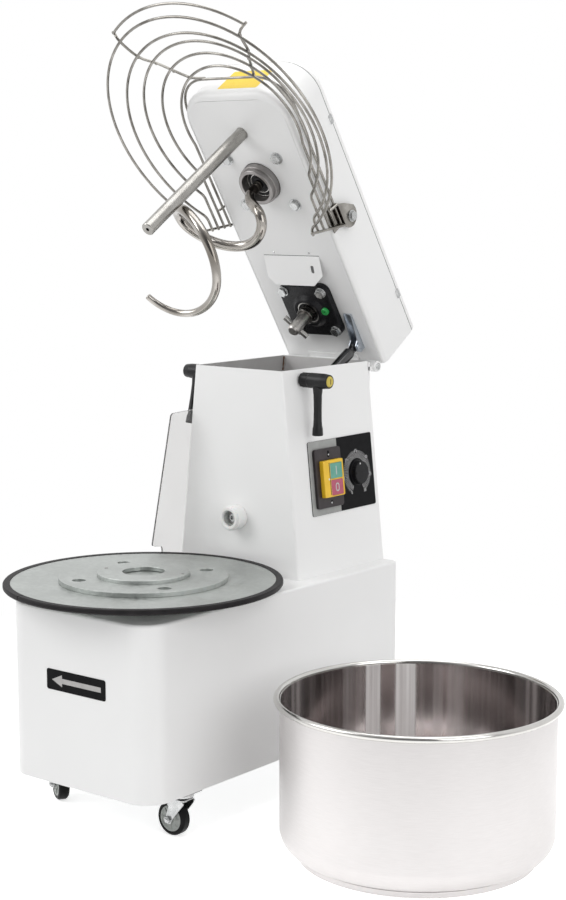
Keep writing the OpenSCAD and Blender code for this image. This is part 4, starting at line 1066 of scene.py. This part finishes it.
def make_pedal(key, at):
    """The brake's pedal: a black tread with four grips, and a pin through its cheeks."""
    body = f"pedal_{key}"
    line = [(30, 61.5, 1.5), (33, 57.5, 2), (41, 57, 2), (61.5, 59.6, 1.2), (63, 61.2, 1.2), (61.8, 63.2, 1),
            (46, 67.2, 3), (41, 68, 2), (34, 66, 2)]
    parts = [moved(plate_mesh("tread", [fillet(line, steps=4)], -11.3, 11.3, 0.8), turn(90, "X"))]
    for k in range(4):
        x, z = 50.5 + 2.6 * k, 64.4 - 0.68 * k
        parts.append(box_mesh(x, x + 1.2, -9, 9, z, z + 2.2))
    show(f"{body}_tread", join("pedal", parts), "plastic", body, at, nodes=[f"brake_{body}"],
         slot="black_plastic")
    pins = []
    for s in (-1, 1):
        pin = lathe_mesh("pin", [(0, 15.6), (1.9, 15.5, 0.5), (2.5, 14.6), (2.5, 11)], 20)
        pins.append(moved(pin, move(36, 0, 61) @ turn(90 * s, "X")))
    show(f"{body}_pin", join("pin", pins), "zinc", body, at)


def make_caster(key):
    x, y, a, brake = CASTERS[key]
    at = move(x, y, 0) @ turn(a)
    make_fork(key, at, brake)
    make_wheel(key, at)
    if brake:
        make_pedal(key, at)


make_turntable()
for caster in CASTERS:
    make_caster(caster)


# ---------------------------------------------------------------- head

def head_plan(w, nose, r):
    """The head from above: square at the hinge, with the nose's corners rounded."""
    return fillet([(-w, 0, 0), (-w, -nose, r), (w, -nose, r), (w, 0, 0)], steps=16)


def make_head():
    # Shell: rolled lower edge, straight walls, a small step in under the cover.
    rolled = []
    for k in range(7):
        a = deg(90 * k / 6)
        rolled.append((12 * (1 - math.cos(a)) + 0.1, 7.5 * (1 - math.sin(a))))
    rings = [(v, HEAD_HALF - d, NOSE - d * 1.8, NOSE_CORNER - d * 1.2) for v, d in rolled]
    for v, d in ((60, 0), (HEAD_TALL, 0), (HEAD_TALL + 0.6, 0.6)):
        rings.append((v, HEAD_HALF - d, NOSE - d, NOSE_CORNER - d))
    mesh = shell_walls("head_walls", [(v, head_plan(w, n, r)) for v, w, n, r in rings], SHEET, top=False)
    show("head_housing", mesh, "paint", "head", HEAD, nodes=["head_shell"], slot="white_paint", sharp=45)
    # The bottom plate is let into the shell.
    holes = [ring(0, -SPIRAL_AT, 40.2, 64), ring(0, -SHAFT_AT, 30, 64), ring(0, -BREAKER_AT, 12.2, 40)]
    plate("head_bottom", [head_plan(111.6, 585.6, 47.6)] + holes, 0, 3, "paint", "head", HEAD, edge=0.5,
          nodes=["head_plate"], slot="white_paint")


def make_cover():
    """A shallow pan with soft edges all round, on a dark gasket, held by four small clips."""
    soft = 11
    # Each ring: its height, half width, length and corner radius, and how far its back is let in.
    rings = [(107.15, HEAD_HALF - 0.6, NOSE - 0.6, NOSE_CORNER - 0.6, 0.4),
             (107.6, HEAD_HALF, NOSE, NOSE_CORNER, 0)]
    for k in range(8):
        a = deg(90 * k / 7)
        d = soft * (1 - math.cos(a))
        rings.append((110 + soft * math.sin(a), HEAD_HALF - d, NOSE - d * 1.25, NOSE_CORNER - d, d))
    loops = []
    for v, w, n, r, back in rings:
        loops.append((v, fillet([(-w, -back, 3), (-w, -n, r), (w, -n, r), (w, -back, 3)], steps=12)))
    show("head_lid", shell_walls("head_lid", loops, SHEET), "paint", "head", HEAD, nodes=["head_cover"],
         slot="white_paint", sharp=55)
    gasket = [(v, head_plan(119.1, NOSE - 0.9, 59.1)) for v in (105.2, 107.6)]
    show("lid_gasket", shell_walls("lid_gasket", gasket, 1, top=False), "seam", "head", HEAD, sharp=45)
    clips = []
    for s in (-1, 1):
        for u in (90, 480):
            tab = plate_mesh("clip", [box_plan(-9, 9, -5, 5, 1.6)], 0, 1.1, 0.25)
            clips.append(moved(tab, move(s * HEAD_HALF, -u, 105) @ turn(90 * s, "Y") @ turn(90)))
            screw = lathe_mesh("screw", [(0, 1.8), (2.0, 1.7, 0.5), (2.9, 1.0)], 20)
            clips.append(moved(screw, move(s * HEAD_HALF, -u, 103) @ turn(90 * s, "Y")))
    show("lid_clips", join("clips", clips), "zinc", "head", HEAD)


def make_nose_patch():
    """The plain yellow patch on the nose."""
    plate("nose_patch", [box_plan(-33, 58, 19, 79, 3)], 0, 0.25, "label", "head",
          HEAD @ move(0, -NOSE, 0) @ turn(90, "X"), edge=0.05)


def make_flap():
    """The sheet flap that hangs under the head, with its seam, screws and latch."""
    root = 249
    at = HEAD @ move(0, -root, -0.05) @ turn(-15.5, "X")
    outline = fillet([(-69, 0, 0), (63, 0, 0), (63, 39.5, 4), (39, 59.5, 4), (-53, 59.5, 4), (-69, 43.5, 4)],
                     steps=4)
    keyhole = fillet([(38.4, 19, 2), (45.6, 19, 2), (45.6, 34, 3.5), (38.4, 34, 3.5)], steps=4)
    plate("flap_sheet", [outline, keyhole], -1.5, 0, "paint", "head", at, edge=0.4, nodes=["deflector_flap"],
          slot="white_paint")
    show("flap_seam", box_mesh(-69, 63, -1.2, 0.4, -0.3, -0.02), "seam", "head", HEAD @ move(0, -root, 0))
    for k, x in enumerate((-42, 42)):
        screw = moved(lathe_mesh("screw", [(0, 1.4), (1.6, 1.3, 0.4), (2.4, 0)], 20), turn(180, "X"))
        show(f"flap_screw_{k}", screw, "zinc", "head", HEAD @ move(x, -root - 7, 0))
    tongue = fillet([(37.4, 18, 2), (46.6, 18, 2), (46.6, 35, 4), (37.4, 35, 4)], steps=4)
    show("flap_latch", plate_mesh("latch", [tongue], 0.1, 0.9, 0.3), "seam", "head", at)


def bolt(size, height, washer, at):
    """A hex bolt and its washer, pointing down from the head's bottom."""
    top = -1.6
    disc = lathe_mesh("washer", [(washer - 4, top, 0), (washer, top, 0.4), (washer, 0, 0)], 40)
    return [moved(hexagon(size, height), at @ turn(17) @ move(0, 0, top)), moved(disc, at)]


def make_spiral_end():
    """The spiral's machined seat. Deep inside is a black bearing with two bright rings round the shaft."""
    at = HEAD @ move(0, -SPIRAL_AT, 0)
    housing = [(29.5, -2.2, 0.4), (29.5, -21.4, 0.5), (30.2, -22, 0.4), (35.6, -22, 0.7), (36.5, -21, 0.5),
               (36.5, -13.2, 0.4), (38.8, -13, 0.6), (39.5, -12.2, 0.4), (39.5, -0.1, 0.3)]
    lathe("spiral_seat", housing, "seat", "head", at, nodes=["spiral_housing"], slot="machined_steel")
    seal = [(29.4, -3), (27.5, -4.5, 0.3), (24, -3.6, 0.4), (15, -4.6, 0.4), (13.2, -4)]
    lathe("spiral_bearing_seal", seal, "plastic", "head", at)
    for r in (28.2, 20.6):
        line = [(r, -3.4), (r - 0.3, -6.2, 0.4), (r - 1.7, -6.2, 0.4), (r - 2, -3.6)]
        lathe("spiral_bearing_ring", line, "bright", "head", at)
    collar = [(13.1, -1), (13.1, -8, 0.6), (9.6, -9, 0.4), (9.6, -12)]
    lathe("spiral_shaft_collar", collar, "plastic", "spiral", at)


def make_bolts():
    """Four hex bolts round the spiral's seat and four on the flange bearing."""
    bolts = []
    for x in (-58, 58):
        for y in (-50, 50):
            bolts += bolt(10, 6.4, 12, move(x, -SPIRAL_AT + y, 0))
    for x in (-45, 45):
        for y in (-45, 45):
            bolts += bolt(10, 6.4, 11, move(x, -SHAFT_AT + y, -14))
    show("head_bolt_set", join("bolts", bolts), "zinc", "head", HEAD, nodes=["head_bolts"], slot="zinc_plate",
         bevel=0.3, sharp=28)


def make_breaker():
    """The breaker bar, with a small bore up its end, lined in black as painted shade."""
    at = HEAD @ move(0, -BREAKER_AT, 0)
    bar = [(3.1, -285, 0.3), (3.1, -304.6, 0.6), (10.8, -305, 0.5), (12, -303.7, 0.5), (12, -3, 0.2),
           (12, 40, 0.2)]
    lathe("breaker_rod", bar, "satin", "head", at, sides=64, nodes=["breaker_bar"], slot="stainless")
    # Black lining in the bore: painted shade in the hole.
    lathe("breaker_bore_shade", [(0, -286), (3.1, -286, 0.3), (3.1, -304.7)], "plastic", "head", at, sides=32)


def make_bearing():
    """The flange bearing with its green grease cap, whose small hollow has a black disc as painted shade."""
    at = HEAD @ move(0, -SHAFT_AT, 0)
    base = plate_mesh("flange", [box_plan(-58, 58, -58, 58, 17, steps=8), ring(0, 0, 24, 64)], -14, 0, 1.6)
    boss = [(24, -13.6, 0.3), (24, -21.6, 0.6), (29.4, -22, 1.6), (37.6, -13.9, 2.5), (44, -13.8)]
    show("bearing_flange", join("flange", [base, lathe_mesh("boss", boss)]), "black_cast", "head", at,
         nodes=["flange_bearing"], slot="cast_black", sharp=35)
    outer = [(24, -13.8), (24, -19.8, 0.5), (21.0, -19.8, 0.4), (20.6, -16)]
    lathe("bearing_outer_ring", outer, "bright", "head", at)
    seal = [(21, -18), (19.6, -18.6, 0.4), (16.6, -18.2, 0.4), (14.4, -18.8, 0.4), (14.2, -14)]
    lathe("bearing_seal", seal, "plastic", "head", at)
    cap = [(0, -17.8), (1.7, -17.8, 0.2), (2.1, -19.6, 0.5), (6.4, -20, 1.4), (7.5, -18.2, 0.8), (7.5, -13.4)]
    show("grease_cap", moved(lathe_mesh("cap", cap, 40), move(39, -2, 0)), "cap", "head", at)
    # A black disc in the cap's hollow: painted shade in the hole.
    cap_hole_shade = lathe_mesh("cap_hole_shade", [(0, -18.0), (1.6, -18.0, 0)], 20)
    show("grease_cap_hole_shade", moved(cap_hole_shade, move(39, -2, 0)), "plastic", "head", at)


def make_input_shaft():
    """The input shaft: a turned end with a chamfer, a collar with a set screw, and a cross pin."""
    at = HEAD @ move(0, -SHAFT_AT, 0)
    shaft = [(0, -80), (8.6, -80, 0.3), (11.5, -77, 0.5), (11.5, -20, 0.3), (11.5, 60, 0)]
    lathe("input_shaft_end", shaft, "shaft", "input_drive", at, sides=64, nodes=["input_shaft"],
          slot="machined_steel")
    collar = [(11.6, -15, 0), (17, -15, 0.4), (17, -33, 0.6), (16, -34, 0.4), (11.6, -34, 0.4)]
    lathe("input_collar", collar, "collar", "input_drive", at, sides=64)
    socket = lathe_mesh("set", [(0, 16.3), (2.3, 16.3, 0), (2.3, 17.1, 0.2), (3.1, 17.14, 0)], 24)
    socket = moved(socket, move(0, 0, -25) @ turn(-60) @ turn(90, "Y"))
    show("collar_set_screw", socket, "plastic", "input_drive", at)
    sides = []
    for s in (-1, 1):
        tab = box_mesh(11.2, 28.8, -3.9, 3.9, -69.8, -62.2)
        sides.append(moved(tab, turn(52 + (180 if s > 0 else 0))))
    show("cross_pin", join("pin", sides), "bright", "input_drive", at, bevel=0.7)


def make_hinges():
    """The head's hinge leaf, the column's two leaves and the pin through their barrels."""
    axis = move(0, HINGE_Y, HINGE_Z)
    leaf = HEAD @ move(0, -2.5, -13.5)
    barrel = [(5.1, -59.5, 0.3), (9, -59.5, 0.8), (9, 59.5, 0.8), (5.1, 59.5, 0.3)]
    barrel = moved(lathe_mesh("barrel", barrel, 48, closed=True), turn(90, "Y"))
    upright = box_mesh(-59.5, 59.5, -6, 2.5, 0, 13.5)
    flat = box_mesh(-59.5, 59.5, -16.5, 2.5, 10.5, 13.5)
    show("head_hinge_leaf", join("leaf", [barrel, upright, flat]), "paint", "head", leaf,
         nodes=["head_hinge"], slot="zinc_plate", bevel=0.5)
    barrel = [(5.1, -25.2, 0.3), (10.5, -25.2, 1), (10.5, 25.2, 1), (5.1, 25.2, 0.3)]
    ends = []
    for s in (-1, 1):
        tube = lathe_mesh("barrel", barrel, 48, closed=True)
        ends.append(moved(tube, move(s * 85.25, HINGE_Y, HINGE_Z) @ turn(90, "Y")))
        ends.append(box_mesh(s * 82 - 22, s * 82 + 22, BACK, HINGE_Y, 747.3, 755.7))
        ends.append(box_mesh(s * 82 - 22, s * 82 + 22, BACK, BACK + 4, 715, 764))
    show("column_hinge_leaves", join("leaves", ends), "paint", "frame", nodes=["column_hinge"],
         slot="zinc_plate", bevel=0.6)
    half = [(0, -112.6), (5.8, -112.6, 0.8), (7, -111.6, 0.4), (7, -110.5, 0.2), (5, -110.4, 0)]
    pin = half + [(r, -z, *soft) for r, z, *soft in reversed(half)]
    show("hinge_pin", moved(lathe_mesh("pin", pin, 40), axis @ turn(90, "Y")), "zinc", "frame")


# The gas strut: its side, its lower end's place and its upper end's place, in x, y and z.
STRUT_X = 76
STRUT_LOW, STRUT_UP = Vector((STRUT_X, 280, 650)), Vector((STRUT_X, 519.5, 793.7))


def make_strut_fork():
    """A folded bracket under the head, with a headed pin through its two cheeks."""
    line = [(-36, 0, 0), (-36, -14, 2), (-44, -23, 5), (-56, -23, 5), (-62, -12, 5), (-117, -4, 2),
            (-117, 0, 0)]
    parts = []
    for x in (67, 82.5):
        cheek = plate_mesh("cheek", [fillet(line, steps=5), ring(-50, -15, 4.05, 20)], 0, 2.5, 0.35)
        parts.append(moved(cheek, move(x, 0, 0) @ turn(90, "Y") @ turn(90, "Z")))
    parts.append(plate_mesh("web", [box_plan(67, 85, -117, -36, 1.0)], -2.5, 0, 0.3))
    pin = [(0, -11), (3.4, -11, 0.4), (4, -10.4, 0.2), (4, 9), (7, 9, 0.4), (7, 12, 0.8), (0, 12)]
    parts.append(moved(lathe_mesh("pin", pin, 32), move(STRUT_X, -50, -15) @ turn(90, "Y")))
    show("strut_fork", join("fork", parts), "blue_zinc", "head", HEAD, nodes=["strut_bracket"],
         slot="zinc_plate", sharp=30)


def make_strut():
    """The gas strut: a black tube hung from its upper eye, and a bright rod with the lower eye."""
    way = STRUT_LOW - STRUT_UP
    length = way.length
    strut = move(*STRUT_UP) @ turn(-math.degrees(math.atan2(-way.y, -way.z)), "X")
    body = [(5.1, -160, 0.2), (9.4, -160, 0.6), (11, -158, 0.8), (11, -21.5, 2.0), (7.5, -20, 1), (0, -20)]
    neck = fillet([(-6.5, -21, 1), (6.5, -21, 1), (7.6, 0, 4), (4.6, 7.4, 4), (-4.6, 7.4, 4), (-7.6, 0, 4)],
                  steps=6)
    neck = plate_mesh("neck", [neck, ring(0, 0, 4.1, 20)], -3.9, 3.9, 0.8)
    tube = [lathe_mesh("cylinder", body, 64), moved(neck, turn(90) @ turn(90, "X"))]
    show("strut_barrel", join("barrel", tube), "strut", "strut_tube", strut, nodes=["strut_cylinder"],
         slot="cast_black")
    rod = lathe_mesh("rod", [(5, -length + 8), (5, -80)], 40)
    eye = lathe_mesh("eye", [(4.6, -4, 0.3), (9, -4, 0.8), (9, 4, 0.8), (4.6, 4, 0.3)], 40, closed=True)
    eye = moved(eye, move(0, 0, -length) @ turn(90, "Y"))
    show("strut_piston_rod", join("rod", [rod, eye]), "bright", "strut_piston", strut, nodes=["strut_rod"],
         slot="stainless")


# ---------------------------------------------------------------- hook and guard

# The hook's centreline: radius, turn from +X towards the nose, height.
HOOK = [
    (0, -5, -1), (0, -5, -22), (3, -5, -44), (15, -5, -62), (34, -6, -77), (51, -10, -89),
    (61, -24, -99), (64, -48, -107), (64, -76, -113), (63, -101, -119), (64, -130, -128),
    (66, -159, -140), (70, -188, -155), (73, -215, -169), (76, -245, -190),
    (78, -275, -212), (79, -305, -235), (79, -333, -254), (79, -362, -270),
    (79, -396, -283), (79, -431, -295), (80, -470, -303), (81, -512, -308),
]


def make_hook():
    """A forged rod along the centreline, thinner over the last stretch."""
    line = []
    for r, a, v in along(HOOK, per=8):
        r = max(r, 0)
        line.append((r * math.cos(deg(a)), -r * math.sin(deg(a)), v))
    last = len(line) - 1
    thin = last * 20 / 66
    radii = [9.5 - 4 * max(0, (i - last + thin) / thin) ** 1.2 for i in range(last + 1)]
    show("spiral_rod", tube_mesh("hook", line, radii, 32, 0.35), "hook", "spiral",
         HEAD @ move(0, -SPIRAL_AT, 0), nodes=["spiral_hook"], slot="stainless", sharp=40)


# The guard's wire, how far out it meets the side plates, and the pivots' place along and above the head.
WIRE_R = 2.5
WIRES_OUT = 126
PIVOT_AT, PIVOT_UP = 307, 50


def wire(line):
    return tube_mesh("wire", line, WIRE_R, 12, 0.4)


def hoop_line(u, r, end, bend=20):
    """A guard wire seen from above: the arc, the outward bends and the straight runs to the side plates."""
    wide = WIRES_OUT + bend
    half = PI - math.asin(wide / (r + bend))
    uc = u + (r + bend) * math.cos(half)
    back = math.atan((u - uc) / wide)
    side = [(r * math.sin(half * i / 40), -u - r * math.cos(half * i / 40)) for i in range(41)]
    for i in range(7, -1, -1):
        side.append((wide - bend * math.cos(back * i / 8), -uc - bend * math.sin(back * i / 8)))
    side.append((WIRES_OUT, -end))
    return [(-x, y) for x, y in reversed(side[1:])] + side


def weld(p, r=2.0):
    """A small weld bead."""
    bead = [(0, r * 0.75), (r * 0.7, r * 0.55, 0.4), (r, 0, 0.3), (r * 0.7, -r * 0.55, 0.4), (0, -r * 0.75)]
    return moved(lathe_mesh("weld", bead, 12), move(*p))


def make_guard():
    """The wire cage: five hoops, the frame wire above them, the skirt wire, and a welded rib on each side."""
    # Each hoop: its centre along the head, its radius, its height, and where its ends stop.
    hoops = ((552, 236, -60, 338), (536, 212, -44, 333), (538, 185, -28, 325.5), (532, 158, -12, 318),
             (525, 130, 4, 310.5))
    wires = [wire([(x, y, v) for x, y in hoop_line(u, r, end)]) for u, r, v, end in hoops]
    bend, front = 65, 620
    corner = [(WIRES_OUT - bend * (1 - math.cos(deg(a))), -front + bend * (1 - math.sin(deg(a))))
              for a in range(0, 91, 9)]
    frame_line = [(WIRES_OUT, -302)] + corner + [(-x, y) for x, y in reversed(corner)] + [(-WIRES_OUT, -302)]
    wires.append(wire([(x, y, 21) for x, y in frame_line]))
    turns = [deg(a) for a in range(-36, 37, 3)]
    wires.append(wire([(256 * math.sin(a), -552 - 256 * math.cos(a), -50) for a in turns]))
    ribs = [(153, -760, -44.3), (138, -745, -54.3), (127, -704, -38.1), (107, -681, -22.1), (90, -655, -6.1),
            (73, -631, 9.9), (57, -619, 27)]
    for s in (-1, 1):
        wires.append(wire(along([(s * x, y, v) for x, y, v in ribs], per=4)))
        for x, y, v in ribs[:-1]:
            wires.append(weld((s * x, y, v - 2.4), 2.6))
    show("guard_wire_cage", join("guard", wires), "wire", "guard", HEAD, nodes=["guard_wires"],
         slot="stainless", sharp=40)


def make_guard_plates():
    """On each side: a round-ended plate on the pivot, a web, an inner strip and two bars for the wires."""
    near, far = -349.8, -303.2
    outline = fillet([(-350, 25.5, 1), (-340, 43, 8), (-329, 57, 8)], closed=False, steps=4)
    outline += [(-312 + 23 * math.cos(deg(a)), 45 + 23 * math.sin(deg(a))) for a in range(115, -56, -6)]
    outline.append((-298.5, 25.5))
    plates = []
    for s, foot in ((-1, 14.2), (1, -1.8)):
        side = Matrix.Diagonal((s, 1, 1, 1))
        disc = moved(plate_mesh("disc", [outline, ring(-PIVOT_AT, PIVOT_UP, 5.1, 24)], 0, 3, 0.4),
                     move(128.55, 0, 0) @ turn(90, "Y") @ turn(90, "Z"))
        web = box_mesh(121.3, 130, near, far, 25.7, 27.9)
        strip = box_mesh(121.3, 123.1, near, far, foot, 26)
        low = wire([(131.1, -348, -68), (131.1, -303, 26)])
        high = wire([(131.1, -352, -2), (131.1, -349, 26)])
        beads = [weld((129.2, -348 + (v + 68) * 45 / 94, v), 2.8) for v in (-60, -44, -28, -12, 4, 21)]
        plates += [moved(m, side) for m in [disc, web, strip, low, high] + beads]
    show("guard_side_plates", join("ladders", plates), "wire", "guard", HEAD, nodes=["guard_ladders"],
         slot="stainless", sharp=35)


def make_guard_pivots():
    """On each side: a spacer, a washer, a stud and its nut."""
    pivots = []
    for s in (-1, 1):
        at = move(0, -PIVOT_AT, PIVOT_UP) @ turn(90 * s, "Y")
        spacer = lathe_mesh("spacer", [(5, 120.2, 0), (11, 120.2, 0.5), (11, 128.2, 0.5), (5, 128.2, 0)], 40)
        washer = lathe_mesh("washer", [(5, 131.8, 0), (11, 131.8, 0.4), (11, 133.4, 0.4), (5, 133.4, 0)], 40)
        stud = lathe_mesh("stud", [(5, 110), (5, 136.4, 0.6), (4.2, 137.4), (0, 137.4)], 24)
        nut = moved(hexagon(9, 5), move(0, 0, 133.4) @ turn(180, "X"))
        pivots += [moved(m, at) for m in (spacer, washer, stud, nut)]
    show("guard_pivot_set", join("pivots", pivots), "zinc", "head", HEAD, nodes=["guard_pivots"],
         slot="zinc_plate", bevel=0.25, sharp=30)


# ---------------------------------------------------------------- clamp levers

LEVER_AXIS = move(0, 313, 748)


def lever_hub():
    """A turned boss about X with ten fins near its foot."""
    line = [(6.1, 108.5, 0.3), (12.8, 108.5, 0.8), (13.1, 126, 0.6), (14, 128, 0.8), (14, 158.5, 1.5),
            (12.5, 171.2, 1.2), (10.4, 171.4, 0.3), (10.2, 169.6, 0)]
    parts = [lathe_mesh("hub", line, 64)]
    for k in range(10):
        fin = box_mesh(12.6, 13.7, -0.7, 0.7, 109.6, 126)
        parts.append(moved(fin, Matrix.Rotation(2 * PI * k / 10, 4, "Z")))
    return moved(join("hub", parts), turn(90, "Y"))


def lever_arm():
    """The arm: oval where it leaves the hub, fuller at its end."""
    count = 32
    # Each ring: its height, and its half width across and along the hub.
    rings = ((0, 11.5, 10.5), (-14, 9.4, 9.0), (-26, 8.0, 7.8), (-50, 7.4, 7.4), (-72, 7.7, 7.6),
             (-82, 8.4, 8.2), (-87, 9.6, 9.4), (-99, 10.2, 10.0), (-100, 9.4, 9.2))
    verts = []
    for z, wide, deep in rings:
        for k in range(count):
            a = 2 * PI * k / count
            verts.append((144 + deep * math.cos(a), wide * math.sin(a), z))
    faces = bands(range(0, len(verts), count), count)
    faces += [tuple(reversed(range(count))), tuple(range(len(verts) - count, len(verts)))]
    return cleaned(mesh_of("arm", verts, faces))


def make_lever(name, body, at, flip):
    """A black clamp lever with a yellow cap. flip mirrors it to the other side of the machine."""
    side = Matrix.Diagonal((-1, 1, 1, 1)) if flip else Matrix()
    lever = moved(join("lever", [lever_hub(), lever_arm()]), side)
    show(f"{name}_handle", lever, "plastic", body, at, nodes=[name], slot="black_plastic", sharp=50)
    cap = [(0, 173.2), (7.4, 173.2, 1.0), (9.0, 172.2, 0.8), (10.1, 170.6, 0.3), (10.1, 169)]
    show(f"{name}_cap", moved(lathe_mesh("cap", cap, 48), side @ turn(90, "Y")), "cap_yellow", body, at)
    slot = plate_mesh("slot", [box_plan(-5, 5, -0.8, 0.8, 0.7)], 173.1, 173.3, 0.05)
    show(f"{name}_cap_slot", moved(slot, side @ turn(90, "Y")), "plastic", body, at)


# ---------------------------------------------------------------- bowl

def make_bowl():
    """A spun bowl with a rolled rim, on a foot ring with four studs for the turntable's holes."""
    wall, floor, neck = 228, 10, (228, 259)
    outer = fillet([(0, floor, 0), (wall, floor, 38), (wall, 263, 4)], closed=False, steps=18)
    bead = [(232.5 + 5.5 * math.cos(deg(a)), 264.5 + 5.5 * math.sin(deg(a))) for a in range(-110, 200, 12)]
    inner = fillet([(wall - SHEET, 263.5, 0), (wall - SHEET, floor + SHEET, 36), (0, floor + SHEET, 0)],
                   closed=False, steps=18)
    lathe("bowl_outer_wall", outer[:-1] + [neck], "bowl", "bowl", BOWL, sides=192, nodes=["bowl_shell"],
          slot="bowl_steel", sharp=60)
    lathe("bowl_rim", [neck] + bead + inner[:1], "bright", "bowl", BOWL, sides=192, sharp=60)
    lathe("bowl_inner_wall", inner, "bowl_inside", "bowl", BOWL, sides=192, sharp=60)
    foot = [(196, 0.3, 0.2), (199, 0.3, 0.6), (199, 9.8, 0.3), (196, 9.8, 0.2)]
    parts = [lathe_mesh("foot", foot, 128, closed=True)]
    for a in STUD_TURNS:
        stud = lathe_mesh("stud", [(0, 1.0), (9.6, 1.0, 1.2), (11, 2.6, 0.6), (11, 10)], 40)
        parts.append(moved(stud, move(*polar(STUD_CIRCLE, deg(a)))))
    show("bowl_foot_ring", join("foot", parts), "bowl", "bowl", BOWL, nodes=["bowl_foot"], slot="bowl_steel")


make_head()
make_cover()
make_nose_patch()
make_flap()
make_spiral_end()
make_bolts()
make_breaker()
make_bearing()
make_input_shaft()
make_hinges()
make_strut_fork()
make_strut()
make_hook()
make_guard()
make_guard_plates()
make_guard_pivots()
make_lever("lever_right", "clamp_right", LEVER_AXIS, False)
make_lever("lever_left", "clamp_left", LEVER_AXIS @ turn(-13.5, "X"), True)
make_bowl()

# ---------------------------------------------------------------- CAD pieces that stay

KEPT = {
    "base_floor": "zinc", "column_studs": "zinc", "drive_motor": "motor", "bearing_housings": "black_cast",
    "drive_bands": "belt", "caster_plates": "zinc", "cable_gland": "plastic", "turntable_shaft": "machined",
    "main_shaft": "machined", "coupling_cup": "machined", "motor_pulley": "machined", "head_chain": "chain",
    "spiral_shaft": "machined",
}
for node, material in KEPT.items():
    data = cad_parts[node].data
    data.materials.clear()
    data.materials.append(M[material])

bpy.context.view_layer.update()
